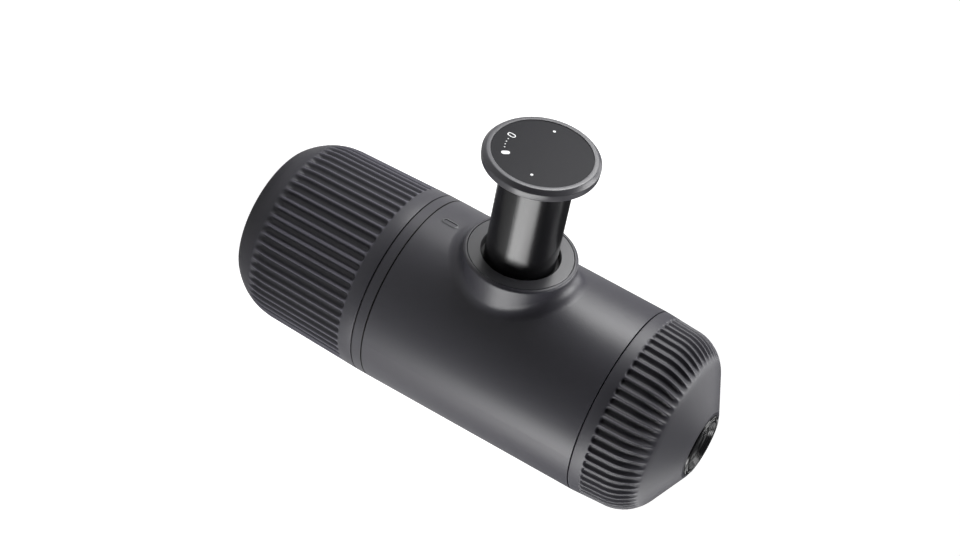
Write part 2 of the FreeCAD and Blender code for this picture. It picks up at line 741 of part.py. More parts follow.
def bound_cylinder(name, radius, length, across, along, height):
    """Part primitive cylinder along Z whose sizes and place are bound to the sheet."""
    cylinder = doc.addObject("Part::Cylinder", name)
    cylinder.setExpression("Radius", radius.text)
    cylinder.setExpression("Height", length.text)
    cylinder.setExpression(".Placement.Base.x", as_size(across).text)
    cylinder.setExpression(".Placement.Base.y", as_size(along).text)
    cylinder.setExpression(".Placement.Base.z", height.text)
    return cylinder


def make_frame_screws():
    """Four pan-head screws, driven up through the socket's roof into the posts."""
    screws = []
    shank_length = size.screw_length - size.screw_head_thick
    for number, (across, along) in enumerate(post_places(), start=1):
        head = bound_cylinder("screw_head_%d" % number, size.screw_head_radius,
                              size.screw_head_thick, across, along, place.roof_low)
        shank = bound_cylinder("screw_shank_%d" % number, size.screw_radius, shank_length,
                               across, along, place.roof_low + size.screw_head_thick)
        screw = doc.addObject("Part::Fuse", "frame_screw_%d" % number)
        screw.Base = head
        screw.Tool = shank
        screws.append(screw)
    group = doc.addObject("Part::Compound", "frame_screws")
    group.Links = screws
    group.Label = "frame_screws"
    return group


# Water side of the frame: check valves, filter and vent.

def set_on_port(body, side):
    """Moves a piece made on the main axis out to a port, at +Y (1) or -Y (-1)."""
    offset = place.port_offset * side
    body.Placement.Base = VECTOR(0, offset.number, 0)
    body.setExpression(".Placement.Base.y", offset.text)
    return body


def make_check_valve(label, base):
    """Soft duckbill: a flange and a bill that narrows the way the water goes."""
    flange = size.valve_pocket - size.loose_gap
    shoulder = flange - size.check_flange
    return set_on_port(turned_piece(doc, label, [
        (0, base),
        (flange, base),
        (flange, base + size.check_flange),
        (shoulder, base + size.check_flange),
        (shoulder / 2, base + size.check_length),
        (0, base + size.check_length),
    ]), 1)


def make_inlet_filter():
    return set_on_port(turned_piece(doc, "inlet_filter", [
        (0, place.roof_low - size.filter_thick),
        (size.filter_radius - size.filter_thick, place.roof_low - size.filter_thick),
        (size.filter_radius, place.roof_low),
        (0, place.roof_low),
    ]), 1)


def make_vent_valve():
    """Soft mushroom valve that lets air into the tank as the water leaves it."""
    low = place.roof_low - size.filter_thick
    knob = size.vent_stem + size.filter_thick
    return set_on_port(turned_piece(doc, "vent_valve", [
        (0, low),
        (size.filter_radius - size.filter_thick, low),
        (size.filter_radius - size.filter_thick, place.roof_low),
        (size.vent_stem, place.roof_low),
        (size.vent_stem, place.roof_high),
        (knob, place.roof_high),
        (size.vent_stem, place.roof_high + size.filter_thick),
        (0, place.roof_high + size.filter_thick),
    ]), -1)


# Group: screen, its screw, gasket and the filter basket.

def sieve(body, name, edge, low, thick):
    """Two rings of sieve holes through a disc, set in from its edge."""
    outer = edge - size.sieve_inset
    for number, radius in enumerate((outer, outer - size.sieve_pitch), start=1):
        hole = drill(body, "%s_%d" % (name, number), [(radius, 0)], size.sieve_hole, low, thick)
        ring_pattern(body, "%s_ring_%d" % (name, number), hole, size.sieve_count)


def make_dispersion_screen():
    body = turned_piece(doc, "dispersion_screen", tube(
        size.pivot_radius + size.fit_gap, place.screen - size.fit_gap, place.screen_low,
        place.screen_high))
    sieve(body, "screen_hole", place.screen, place.screen_low, size.screen_thick)
    return body


def make_screen_screw():
    head = place.screen_high + size.pivot_head_thick
    return turned_piece(doc, "screen_screw", [
        (0, place.plate_high),
        (size.pivot_radius, place.plate_high),
        (size.pivot_radius, place.screen_high),
        (size.pivot_head_radius, place.screen_high),
        (size.pivot_head_radius, head),
        (0, head),
    ])


def make_group_gasket():
    return turned_piece(doc, "group_gasket", tube(
        place.gasket - size.seal_width, place.gasket, place.screen_high, place.flange_low))


def make_filter_basket():
    flange = place.head_neck_inside - size.loose_gap
    top = flange - size.flange_lap
    base = top - size.basket_taper
    floor = place.basket_high - size.basket_wall
    body = turned_piece(doc, "filter_basket", [
        (0, floor),
        (base - size.basket_wall, floor),
        (top - size.basket_wall, place.flange_low),
        (flange, place.flange_low),
        (flange, place.flange_high),
        (top, place.flange_high),
        (base, place.basket_high),
        (0, place.basket_high),
    ])
    sieve(body, "basket_hole", base, floor, size.basket_wall)
    return body


# Outlet head, its nozzle insert and the pressure valve between them.

def shoulder():
    """Outer line of the outlet head: wall, large bend, cone to the tip."""
    turn = size.shoulder_turn
    across = size.head_wall_radius - size.shoulder_bend
    end_across = across + size.shoulder_bend * cosine(turn)
    cone_rise = (end_across - size.tip_radius) * cosine(turn) / sine(turn)
    end_up = place.tip - cone_rise
    up = end_up - size.shoulder_bend * sine(turn)
    return [
        (size.head_wall_radius, up),
        (end_across, end_up, size.shoulder_bend, across, up),
        (size.tip_radius, place.tip),
    ]


def make_outlet_head():
    inside = place.head_neck_inside
    low = place.head_seam + size.seam_gap / 2
    neck_low = place.flange_low - size.neck_short
    ledge = inside - size.loose_gap - size.flange_lap + size.basket_room
    body = turned_piece(doc, "outlet_head", [
        (inside, neck_low),
        (place.head_neck, neck_low),
        (place.head_neck, low),
        (size.body_top_radius, low),
        *shoulder(),
        (size.aperture_radius, place.tip),
        (size.aperture_radius, place.insert_low),
        (size.valve_bore, place.insert_low),
        (size.valve_bore, place.valve_seat),
        (size.throat_radius, place.valve_seat),
        (size.throat_radius, place.funnel_high),
        (ledge, place.funnel_low),
        (ledge, place.flange_high),
        (inside, place.flange_high),
    ])
    bend = shoulder()[1]
    radius = bend[2] - size.groove_depth
    beyond = bend[2] + size.groove_depth
    turn = size.head_groove_bend
    across, up = bend[3:]
    start = place.head_seam + size.head_rim_land
    floor = start + size.groove_slope
    outer = (size.body_top_radius, low), (size.head_wall_radius, up)
    cut_grooves(body, "head_groove", size.head_groove_turn, [
        (across + radius, up),
        (across + radius * cosine(turn), up + radius * sine(turn), radius, across, up),
        (across + beyond * cosine(turn), up + beyond * sine(turn)),
        (across + beyond, up, beyond, across, up),
        (size.body_top_radius + size.groove_depth, start),
        (wall_radius(*outer, floor) - size.groove_depth, floor),
    ])
    return body


def make_nozzle_insert():
    """Round spout: a raised lip, a stepped dish and the hole in its middle."""
    outside = size.aperture_radius - size.fit_gap
    high = place.tip + size.nozzle_proud
    lip = outside - size.lip_width
    seat_high = place.insert_low + size.spring_seat
    return turned_piece(doc, "nozzle_insert", [
        (size.spring_seat_radius, place.insert_low),
        (outside, place.insert_low),
        (outside, high - size.lip_chamfer),
        (outside - size.lip_chamfer, high),
        (lip, high),
        (lip - size.dish_step, high - size.dish_step_deep),
        (size.dish_radius, high - size.dish_deep),
        (size.nozzle_hole, seat_high + size.dish_floor),
        (size.nozzle_hole, seat_high),
        (size.spring_seat_radius, seat_high),
    ])


def make_pressure_valve():
    high = place.valve_seat + size.valve_thick
    return turned_piece(doc, "pressure_valve", [
        (0, place.valve_seat),
        (size.valve_radius, place.valve_seat),
        (size.valve_radius, high),
        (size.valve_stem, high),
        (size.valve_stem, high + size.valve_stem_length),
        (0, high + size.valve_stem_length),
    ])


def make_spring(label, radius, wire, turns, low, high, on_piston=False):
    """Coil of square wire between two seats."""
    body = new_body(doc, label, on_piston)
    sketch = sketch_on(body, label + "_wire", "XZ_Plane")
    half = wire / 2
    draw_outline(sketch, [(radius - half, low), (radius + half, low), (radius + half, low + wire),
                          (radius - half, low + wire)])
    coil = body.newObject("PartDesign::AdditiveHelix", label + "_coil")
    coil.Profile = sketch
    coil.ReferenceAxis = (sketch, ["V_Axis"])
    coil.Mode = "height-turns-angle"
    rise = high - low - wire
    coil.Height = rise.number
    coil.setExpression("Height", rise.text)
    coil.Turns = turns.number
    coil.setExpression("Turns", turns.text)
    return body


# Boss: collar, guide and wiper round the piston sleeve.

def make_lock_collar():
    outside = size.boss_radius - size.boss_rim - size.fit_gap
    hole = size.sleeve_radius + size.collar_room
    edge = size.collar_edge
    return turned_piece(doc, "lock_collar", [
        (hole, place.guide_flange),
        (outside, place.guide_flange),
        (outside, place.boss_reach - edge),
        (outside - edge, place.boss_reach),
        (hole + edge, place.boss_reach),
        (hole, place.boss_reach - edge),
    ], True)


def make_sleeve_guide():
    outside = size.boss_radius - size.boss_rim - size.loose_gap
    bearing = size.sleeve_radius + size.run_gap
    return turned_piece(doc, "sleeve_guide", [
        (place.guide_bore, place.guide_low),
        (place.guide_radius, place.guide_low),
        (place.guide_radius, place.guide_flange - size.guide_flange),
        (outside, place.guide_flange - size.guide_flange),
        (outside, place.guide_flange),
        (bearing + size.wiper_width, place.guide_flange),
        (bearing + size.wiper_width, place.guide_flange - size.wiper_thick),
        (bearing, place.guide_flange - size.wiper_thick),
        (bearing, place.guide_flange - size.guide_land),
        (place.guide_bore, place.guide_flange - size.guide_land),
    ], True)


def make_wiper_ring():
    inside = size.sleeve_radius + size.run_gap
    return turned_piece(doc, "wiper_ring", tube(
        inside, inside + size.wiper_width - size.fit_gap, place.guide_flange - size.wiper_thick,
        place.guide_flange), True)


# Piston: sleeve with its lugs, cap, inlay and the screw that the cap turns on.

def make_piston_sleeve():
    body = new_body(doc, "piston_sleeve", True)
    revolve(body, "sleeve_turned", [
        (0, place.sleeve_end), (size.sleeve_radius, place.sleeve_end),
        (size.sleeve_radius, place.cap_low), (0, place.cap_low)])
    half = size.lug_width / 2
    extrude(body, "lugs", lambda sketch: draw_box(sketch, place.lug_reach, -half, half),
            size.lug_thick, lift=place.sleeve_end)
    inside = size.sleeve_radius - size.sleeve_wall
    drill(body, "sleeve_bore", [(0, 0)], inside, place.sleeve_end,
          place.sleeve_roof - place.sleeve_end)
    drill(body, "sleeve_screw_hole", [(0, 0)], size.pivot_radius + size.loose_gap,
          place.sleeve_roof, size.sleeve_top)
    return body


def make_piston_cap():
    inlay = size.cap_radius - size.cap_round - size.cap_rim
    hole = size.pivot_radius + size.loose_gap
    head = size.pivot_head_radius + size.screw_room
    round_up = place.cap_reach - size.cap_round
    round_across = size.cap_radius - size.cap_round
    return turned_piece(doc, "piston_cap", [
        (hole, place.cap_low),
        (size.cap_radius - size.cap_under, place.cap_low),
        (size.cap_radius, place.cap_low + size.cap_bevel),
        (size.cap_radius, round_up),
        (round_across, place.cap_reach, size.cap_round, round_across, round_up),
        (inlay, place.cap_reach),
        (inlay, place.cap_floor),
        (head, place.cap_floor),
        (head, place.screw_seat),
        (hole, place.screw_seat),
    ], True)


def make_cap_inlay():
    outside = size.cap_radius - size.cap_round - size.cap_rim - size.inlay_gap
    high = place.cap_floor + size.inlay_thick
    return turned_piece(doc, "cap_inlay", [
        (0, place.cap_floor), (outside, place.cap_floor), (outside, high), (0, high)], True)


def make_cap_screw():
    end = place.screw_seat - size.pivot_length
    return turned_piece(doc, "cap_screw", [
        (0, end),
        (size.pivot_radius, end),
        (size.pivot_radius, place.screw_seat),
        (size.pivot_head_radius, place.screw_seat),
        (size.pivot_head_radius, place.screw_seat + size.pivot_head_thick),
        (0, place.screw_seat + size.pivot_head_thick),
    ], True)


def make_plunger_rod():
    bore_low = place.screw_seat - size.pivot_length - size.head_gap
    bore = size.pivot_radius + size.run_gap
    spigot_low = place.plunger_low + size.spigot_short
    return turned_piece(doc, "plunger_rod", [
        (0, spigot_low),
        (size.rod_spigot, spigot_low),
        (size.rod_spigot, place.plunger_high),
        (size.rod_radius, place.plunger_high),
        (size.rod_radius, place.sleeve_roof),
        (bore, place.sleeve_roof),
        (bore, bore_low),
        (0, bore_low),
    ], True)


# Pump: plunger head and ring, cylinder, front cap, manifold and lock ring.

def make_plunger_head():
    outside = place.pump_bore - size.plunger_room
    middle = (place.plunger_low + place.plunger_high) / 2
    groove = outside - size.ring_depth
    socket = size.rod_spigot + size.fit_gap
    socket_low = place.plunger_low + size.spigot_short - size.fit_gap
    return turned_piece(doc, "plunger_head", [
        (0, place.plunger_low),
        (outside, place.plunger_low),
        (outside, middle - size.ring_groove / 2),
        (groove, middle - size.ring_groove / 2),
        (groove, middle + size.ring_groove / 2),
        (outside, middle + size.ring_groove / 2),
        (outside, place.plunger_high),
        (socket, place.plunger_high),
        (socket, socket_low),
        (0, socket_low),
    ], True)


def make_plunger_seal():
    inside = place.pump_bore - size.plunger_room - size.ring_depth + size.fit_gap
    middle = (place.plunger_low + place.plunger_high) / 2
    half = size.ring_groove / 2 - size.fit_gap
    return turned_piece(doc, "plunger_seal", tube(
        inside, place.pump_bore - size.run_gap, middle - half, middle + half), True)


def make_pump_cylinder():
    return turned_piece(doc, "pump_cylinder", tube(
        place.pump_bore, place.pump_outside, -place.port_offset - size.pump_tail,
        place.pump_front), True)


def make_pump_front_cap():
    inside = size.rod_radius + size.run_gap
    spigot = place.pump_bore - size.fit_gap
    outside = place.pump_outside
    return turned_piece(doc, "pump_front_cap", [
        (inside, place.pump_front - size.front_cap_spigot),
        (spigot, place.pump_front - size.front_cap_spigot),
        (spigot, place.pump_front),
        (outside, place.pump_front),
        (outside, place.front_cap),
        (inside, place.front_cap),
    ], True)


def make_pump_manifold():
    """Holds the cylinder's back end, and carries water in from below and out above."""
    body = new_body(doc, "pump_manifold", True)
    front = place.ring_low
    bell_floor = place.lugs_locked - size.bell_room
    web_back = bell_floor - size.bell_web
    seat = place.pump_outside + size.fit_gap
    outside = seat + size.manifold_wall
    bell = place.bell + size.bell_wall
    revolve(body, "manifold_turned", [
        (0, -place.manifold_back),
        (outside, -place.manifold_back),
        (outside, web_back),
        (bell, web_back),
        (bell, front),
        (0, front),
    ])
    port = [(0, -place.port_offset)]
    up = place.plate_low - place.piston
    down = place.piston - place.roof_high
    for name, length, side in (("lower", down, False), ("upper", up, True)):
        extrude(body, name + "_spigot",
                lambda sketch: draw_circles(sketch, port, size.spigot_radius),
                length, "XZ_Plane", backwards=side)
    revolve(body, "manifold_bore", [
        (0, front),
        (0, -place.pump_end),
        (seat, -place.pump_end),
        (seat, bell_floor),
        (place.bell, bell_floor),
        (place.bell, front),
    ], "PartDesign::Groove")
    slot_reach = (seat + outside) / 2
    for name, length, side in (("lower", down, False), ("upper", up, True)):
        drill(body, name + "_port", port, size.port_radius, None, length, "XZ_Plane", side)
        extrude(body, name + "_slot",
                lambda sketch: draw_box(sketch, size.port_radius, -place.pump_end,
                                        -place.port_offset),
                slot_reach, "XZ_Plane", cut=True, backwards=side)
    for name, start, side in (("lower", down, True), ("upper", -up + size.valve_pocket_deep, True)):
        drill(body, name + "_valve_pocket", port, size.valve_pocket, start,
              size.valve_pocket_deep, "XZ_Plane", side)
    return body


def make_lock_ring():
    """Bayonet ring: the sleeve's lugs pass its notches and lock behind it when turned."""
    body = turned_piece(doc, "lock_ring", tube(
        size.sleeve_radius + size.lug_room, place.bell + size.bell_wall, place.ring_low,
        place.ring_low + size.lock_ring_thick), True)
    half = size.lug_width / 2 + size.lug_room
    extrude(body, "notches",
            lambda sketch: draw_box(sketch, place.bell, -half, half),
            size.lock_ring_thick, lift=place.ring_low, cut=True, backwards=False)
    return body


def build_pieces():
    return [
        make_cup(),
        make_water_tank(),
        make_tank_gasket(),
        make_main_housing(),
        make_tank_socket(),
        make_group_head(),
        make_frame_screws(),
        make_check_valve("inlet_valve", place.roof_high),
        make_check_valve("outlet_valve", place.plate_low - size.valve_pocket_deep),
        make_inlet_filter(),
        make_vent_valve(),
        make_dispersion_screen(),
        make_screen_screw(),
        make_group_gasket(),
        make_filter_basket(),
        make_outlet_head(),
        make_nozzle_insert(),
        make_pressure_valve(),
        make_spring("valve_spring", size.valve_spring_radius, size.valve_wire, size.valve_turns,
                    place.valve_seat + size.valve_thick, place.insert_low + size.spring_seat),
        make_lock_collar(),
        make_sleeve_guide(),
        make_wiper_ring(),
        make_piston_sleeve(),
        make_piston_cap(),
        make_cap_inlay(),
        make_cap_screw(),
        make_plunger_rod(),
        make_plunger_head(),
        make_plunger_seal(),
        make_pump_cylinder(),
        make_pump_front_cap(),
        make_pump_manifold(),
        make_lock_ring(),
        make_spring("return_spring", size.spring_radius, size.spring_wire, size.spring_turns,
                    place.front_cap, place.sleeve_roof, True),
    ]


def check_pieces(pieces):
    for item in doc.Objects:
        if "Invalid" in item.State or "Error" in item.State:
            raise ValueError("%s failed: %s" % (item.Name, item.State))
    for piece in pieces:
        if piece.Shape.isNull() or not piece.Shape.isValid() or not piece.Shape.Solids:
            raise ValueError("%s has no valid solid" % piece.Label)


pieces = build_pieces()
doc.recompute()
check_pieces(pieces)
os.makedirs("parts", exist_ok=True)
for piece in pieces:
    piece.Shape.exportStep("parts/%s.step" % piece.Label)
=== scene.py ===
import math

import bmesh
import bpy
from mathutils import Matrix, Vector


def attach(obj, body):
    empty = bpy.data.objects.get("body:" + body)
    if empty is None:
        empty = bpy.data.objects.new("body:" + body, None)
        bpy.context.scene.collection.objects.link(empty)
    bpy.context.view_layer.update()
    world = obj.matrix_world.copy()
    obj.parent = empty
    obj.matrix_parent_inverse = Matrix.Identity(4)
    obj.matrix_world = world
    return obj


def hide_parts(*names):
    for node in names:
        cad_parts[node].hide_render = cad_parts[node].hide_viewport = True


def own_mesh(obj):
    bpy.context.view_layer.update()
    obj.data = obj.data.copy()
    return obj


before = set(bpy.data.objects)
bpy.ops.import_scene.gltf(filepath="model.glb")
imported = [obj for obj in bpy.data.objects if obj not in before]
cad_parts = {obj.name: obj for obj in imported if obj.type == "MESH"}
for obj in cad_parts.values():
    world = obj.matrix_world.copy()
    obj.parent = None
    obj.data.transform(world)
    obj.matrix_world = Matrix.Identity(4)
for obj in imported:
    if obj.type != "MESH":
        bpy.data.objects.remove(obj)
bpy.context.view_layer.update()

# Camera: held above and in front of the standing maker, and rolled so that the maker lies
# across the view with its outlet head to the right.
EYE = Vector((0.41093, -0.42817, 0.26148))
VIEW_RIGHT = Vector((-0.52786, -0.14553, 0.83677))
VIEW_UP = Vector((-0.51789, -0.72571, -0.45291))
LENS = 75.0
SENSOR_WIDTH = 36.0
NEAREST = 0.01

camera = bpy.data.objects.new("camera", bpy.data.cameras.new("camera"))
camera.data.lens = LENS
camera.data.sensor_width = SENSOR_WIDTH
camera.data.clip_start = NEAREST
bpy.context.scene.collection.objects.link(camera)
turned = Matrix((VIEW_RIGHT, VIEW_UP, VIEW_RIGHT.cross(VIEW_UP))).transposed()
camera.matrix_world = Matrix.Translation(EYE) @ turned.to_4x4()
bpy.context.scene.camera = camera
bpy.context.scene.view_settings.view_transform = "Standard"


# Studio: a wide white floor in a dim pale room, and softboxes round the maker at mid height
# and above it, the strongest above its left. The floor keeps the maker's shadow.
FLOOR_REACH = 30.0
FLOOR_COLOUR = (0.40, 0.40, 0.40, 1.0)
FLOOR_GLOW = 1.0
FLOOR_GLOSS = 0.06
ROOM_COLOUR = (1.0, 1.0, 1.0, 1.0)
ROOM_LEVEL = 0.01
ROOM_GLOSS = 0.01
AIM = Vector((0.0, 0.0, 0.085))
# Name, turn in degrees, height, distance, width and height in metres, and power in watts.
SOFTBOXES = (
    ("softbox_front", -24.0, 0.05, 0.34, 0.14, 0.13, 0.52),
    ("softbox_left", -38.0, 0.13, 0.34, 0.20, 0.26, 0.80),
    ("softbox_far_left", -90.0, 0.30, 0.36, 0.30, 0.30, 0.54),
    ("softbox_right", 122.0, 0.17, 0.34, 0.14, 0.34, 1.23),
    ("softbox_low_right", 138.0, 0.09, 0.34, 0.14, 0.18, 0.24),
    ("softbox_back", 180.0, 0.30, 0.36, 0.30, 0.30, 0.70),
    ("softbox_above_left", -60.0, 0.65, 0.40, 0.40, 0.40, 4.00),
    ("softbox_above_back", 200.0, 0.65, 0.40, 0.40, 0.40, 0.37))


def softbox(name, turn, height, distance, across, high, power):
    """Soft lamp that faces the maker, turned in degrees from the piston's side towards +X."""
    lamp = bpy.data.lights.new(name, "AREA")
    lamp.shape = "RECTANGLE"
    lamp.size = across
    lamp.size_y = high
    lamp.energy = power
    lamp_object = bpy.data.objects.new(name, lamp)
    angle = math.radians(turn)
    place = Vector((distance * math.sin(angle), -distance * math.cos(angle), height))
    lamp_object.location = place
    lamp_object.rotation_euler = (AIM - place).to_track_quat("-Z", "Y").to_euler()
    lamp_object.visible_camera = False
    bpy.context.scene.collection.objects.link(lamp_object)


def background_share(tree, gloss):
    """White for what the camera sees directly or through glass, and gloss for reflections."""
    path = tree.nodes.new("ShaderNodeLightPath")
    reflected = tree.nodes.new("ShaderNodeMath")
    reflected.operation = "MULTIPLY_ADD"
    reflected.inputs[1].default_value = gloss
    tree.links.new(path.outputs["Is Glossy Ray"], reflected.inputs[0])
    tree.links.new(path.outputs["Is Camera Ray"], reflected.inputs[2])
    share = tree.nodes.new("ShaderNodeMath")
    tree.links.new(reflected.outputs[0], share.inputs[0])
    tree.links.new(path.outputs["Is Transmission Ray"], share.inputs[1])
    return share.outputs[0]


for values in SOFTBOXES:
    softbox(*values)

world = bpy.data.worlds.new("room")
world.use_nodes = True
bpy.context.scene.world = world
level = world.node_tree.nodes.new("ShaderNodeMapRange")
level.inputs["To Min"].default_value = ROOM_LEVEL
level.inputs["To Max"].default_value = 1.0
background = world.node_tree.nodes["Background"]
world.node_tree.links.new(background_share(world.node_tree, ROOM_GLOSS), level.inputs["Value"])
world.node_tree.links.new(level.outputs[0], background.inputs["Strength"])
background.inputs["Color"].default_value = ROOM_COLOUR

floor_mesh = bpy.data.meshes.new("floor")
floor_mesh.from_pydata([(-FLOOR_REACH, -FLOOR_REACH, 0.0), (FLOOR_REACH, -FLOOR_REACH, 0.0),
                        (FLOOR_REACH, FLOOR_REACH, 0.0), (-FLOOR_REACH, FLOOR_REACH, 0.0)],
                       [], [(0, 1, 2, 3)])
floor = bpy.data.objects.new("floor", floor_mesh)
bpy.context.scene.collection.objects.link(floor)
paper = bpy.data.materials.new("paper_floor")
paper.use_nodes = True
paper.node_tree.nodes.clear()
matt = paper.node_tree.nodes.new("ShaderNodeBsdfDiffuse")
matt.inputs["Color"].default_value = FLOOR_COLOUR
glow = paper.node_tree.nodes.new("ShaderNodeEmission")
glow_level = paper.node_tree.nodes.new("ShaderNodeMath")
glow_level.operation = "MULTIPLY"
glow_level.inputs[1].default_value = FLOOR_GLOW
both = paper.node_tree.nodes.new("ShaderNodeAddShader")
ending = paper.node_tree.nodes.new("ShaderNodeOutputMaterial")
paper.node_tree.links.new(background_share(paper.node_tree, FLOOR_GLOSS), glow_level.inputs[0])
paper.node_tree.links.new(glow_level.outputs[0], glow.inputs["Strength"])
paper.node_tree.links.new(matt.outputs[0], both.inputs[0])
paper.node_tree.links.new(glow.outputs[0], both.inputs[1])
paper.node_tree.links.new(both.outputs[0], ending.inputs["Surface"])
floor_mesh.materials.append(paper)


# Drinking cup: a deep bowl moulded in dark satin plastic, pushed over the water tank from
# below. It is a turned shell, and sixty grip grooves follow its wall and its foot's bend.
# Shapes are in millimetres, from the middle of the cup's foot, and a skin's grain in metres.
MM = 0.001
PISTON_AXIS = 85.2
RIB_COUNT = 60
RIB_PITCH = math.tau / RIB_COUNT
RIB_SAMPLES = (-0.47, -0.435, -0.395, -0.34, -0.27, -0.17, 0.0,
               0.17, 0.27, 0.34, 0.395, 0.435, 0.47, 0.5)
GROOVE_SHARE = 0.475
GROOVE_END_STEPS = (0.0, 0.12, 0.25, 0.4, 0.55, 0.72, 0.9, 1.1, 1.35, 1.65, 2.0, 2.45, 3.0, 3.6)
GROOVE_STEP = 1.6
CUP_GROOVE_DEPTH = 1.2
CUP_GROOVE_EDGE = 0.68
CUP_FADE_IN = 3.5
CUP_FADE_OUT = 0.9
CUP_FIRST_GROOVE = math.radians(1.4)
CUP_GROOVE_FOOT = math.radians(21.9)
CUP_GROOVE_TOP = 44.9
CUP_WALL = 2.8
CUP_FLAT_RADIUS = 10.0
CUP_FOOT_CORNER = (20.865, 4.5)
CUP_FOOT_CORNER_RADIUS = 4.5
CUP_BENDS_MEET = -45.5
CUP_BEND = (9.58, 15.983)
CUP_BEND_RADIUS = 20.6
CUP_LOW_RADIUS = 30.18
CUP_WALL_SPREAD = 0.82
CUP_WALL_RISE = 33.467
CUP_RIM = 49.36
CUP_RIM_RADIUS = 31.0
CUP_RIM_INSIDE = 28.2
CUP_INSIDE_WALL = [(27.9, 38.0), (27.6, 26.0)]
SHELL_COLOUR = (0.0390, 0.0380, 0.0470)


def new_tree(name, kind, inputs, outputs):
    """Empty node group with named inputs (name, type, value) and outputs (name, type)."""
    tree = bpy.data.node_groups.new(name, kind)
    for label, socket, value in inputs:
        made = tree.interface.new_socket(label, in_out="INPUT", socket_type="NodeSocket" + socket)
        if value is not None:
            made.default_value = value
    for label, socket in outputs:
        tree.interface.new_socket(label, in_out="OUTPUT", socket_type="NodeSocket" + socket)
    return tree, tree.nodes.new("NodeGroupInput").outputs, tree.nodes.new("NodeGroupOutput").inputs


def feed(tree, socket, value):
    """A socket takes either another socket's value or a constant."""
    if isinstance(value, bpy.types.NodeSocket):
        tree.links.new(value, socket)
    else:
        socket.default_value = value


def add_node(tree, kind, values=(), **settings):
    """Node with its settings made first, and then its inputs fed by name or number."""
    node = tree.nodes.new(kind)
    for name, value in settings.items():
        setattr(node, name, value)
    for key, value in dict(values).items():
        feed(tree, node.inputs[key], value)
    return node


def maths(tree, operation, *values):
    """Result of one Math node."""
    return add_node(tree, "ShaderNodeMath", enumerate(values), operation=operation).outputs[0]


def diagonal(tree, across, up):
    """Length of the line that spans two sides at right angles."""
    return maths(tree, "SQRT", maths(tree, "ADD", maths(tree, "MULTIPLY", across, across),
                                     maths(tree, "MULTIPLY", up, up)))


def scaled(tree, vector, factor):
    """Vector or colour times a number."""
    return add_node(tree, "ShaderNodeVectorMath", {0: vector, "Scale": factor},
                    operation="SCALE").outputs[0]


def eased(tree, value, low, high):
    """0 below low, 1 above high, with a soft step between."""
    return add_node(tree, "ShaderNodeMapRange", {0: value, 1: low, 2: high},
                    interpolation_type="SMOOTHSTEP").outputs[0]


def finished(tree, geometry, finish):
    """The end of each geometry tree: plain geometry with its material."""
    plain = add_node(tree, "GeometryNodeRealizeInstances", {0: geometry}).outputs[0]
    return add_node(tree, "GeometryNodeSetMaterial",
                    {"Geometry": plain, "Material": finish}).outputs[0]


def make_groove_tree():
    """Sinks evenly spaced grooves with round ends into a turned shell. The shell's points
    carry how far along a groove they lie, and stay where that is outside the groove. The
    result carries where the crests between the grooves are."""
    tree, given, result = new_tree("grip_grooves", "GeometryNodeTree", (
        ("Geometry", "Geometry", None), ("Count", "Int", RIB_COUNT),
        ("First Groove", "Float", 0.0), ("Half Width Share", "Float", GROOVE_SHARE),
        ("Depth", "Float", 0.001), ("Length", "Float", 0.03), ("Fade In", "Float", 0.001),
        ("Fade Out", "Float", 0.001), ("Edge Share", "Float", 0.72),
        ("Finish", "Material", None)), (("Geometry", "Geometry"),))
    place = tree.nodes.new("GeometryNodeInputPosition").outputs[0]
    parts = add_node(tree, "ShaderNodeSeparateXYZ", {0: place}).outputs
    radius = diagonal(tree, parts[0], parts[1])
    pitch = maths(tree, "DIVIDE", math.tau, given["Count"])
    angle = maths(tree, "ARCTAN2", parts[1], parts[0])
    turns = maths(tree, "DIVIDE", maths(tree, "SUBTRACT", angle, given["First Groove"]), pitch)
    off_centre = maths(tree, "ABSOLUTE", maths(tree, "SUBTRACT", turns,
                                               maths(tree, "ROUND", turns)))
    width = maths(tree, "MULTIPLY", pitch, radius)
    across = maths(tree, "MULTIPLY", off_centre, width)
    half = maths(tree, "MULTIPLY", given["Half Width Share"], width)
    along = add_node(tree, "GeometryNodeInputNamedAttribute", {"Name": "along"}).outputs[0]
    left = maths(tree, "SUBTRACT", given["Length"], along)
    to_end = maths(tree, "MINIMUM", along, left)
    past = maths(tree, "MAXIMUM", maths(tree, "SUBTRACT", half, to_end), 0.0)
    inside = maths(tree, "SUBTRACT", half, diagonal(tree, across, past))
    sunk = eased(tree, inside, 0.0, maths(tree, "MULTIPLY", half, given["Edge Share"]))
    fading = maths(tree, "MULTIPLY", eased(tree, along, 0.0, given["Fade In"]),
                   eased(tree, left, 0.0, given["Fade Out"]))
    amount = maths(tree, "MULTIPLY", maths(tree, "MULTIPLY", sunk, fading), given["Depth"])
    on_top = maths(tree, "SUBTRACT", 1.0, eased(tree, sunk, 0.0, 0.5))
    marked = add_node(tree, "GeometryNodeStoreNamedAttribute", {
        "Geometry": given["Geometry"], "Name": "crest",
        "Value": maths(tree, "MULTIPLY", fading, on_top)}, data_type="FLOAT", domain="POINT")
    normal = tree.nodes.new("GeometryNodeInputNormal").outputs[0]
    inwards = scaled(tree, normal, maths(tree, "MULTIPLY", amount, -1.0))
    moved = add_node(tree, "GeometryNodeSetPosition",
                     {"Geometry": marked.outputs[0], "Offset": inwards})
    feed(tree, result[0], finished(tree, moved.outputs[0], given["Finish"]))
    return tree


def new_piece(name, mesh):
    """Object with its own mesh, at the origin."""
    piece = bpy.data.objects.new(name, mesh)
    bpy.context.scene.collection.objects.link(piece)
    return piece


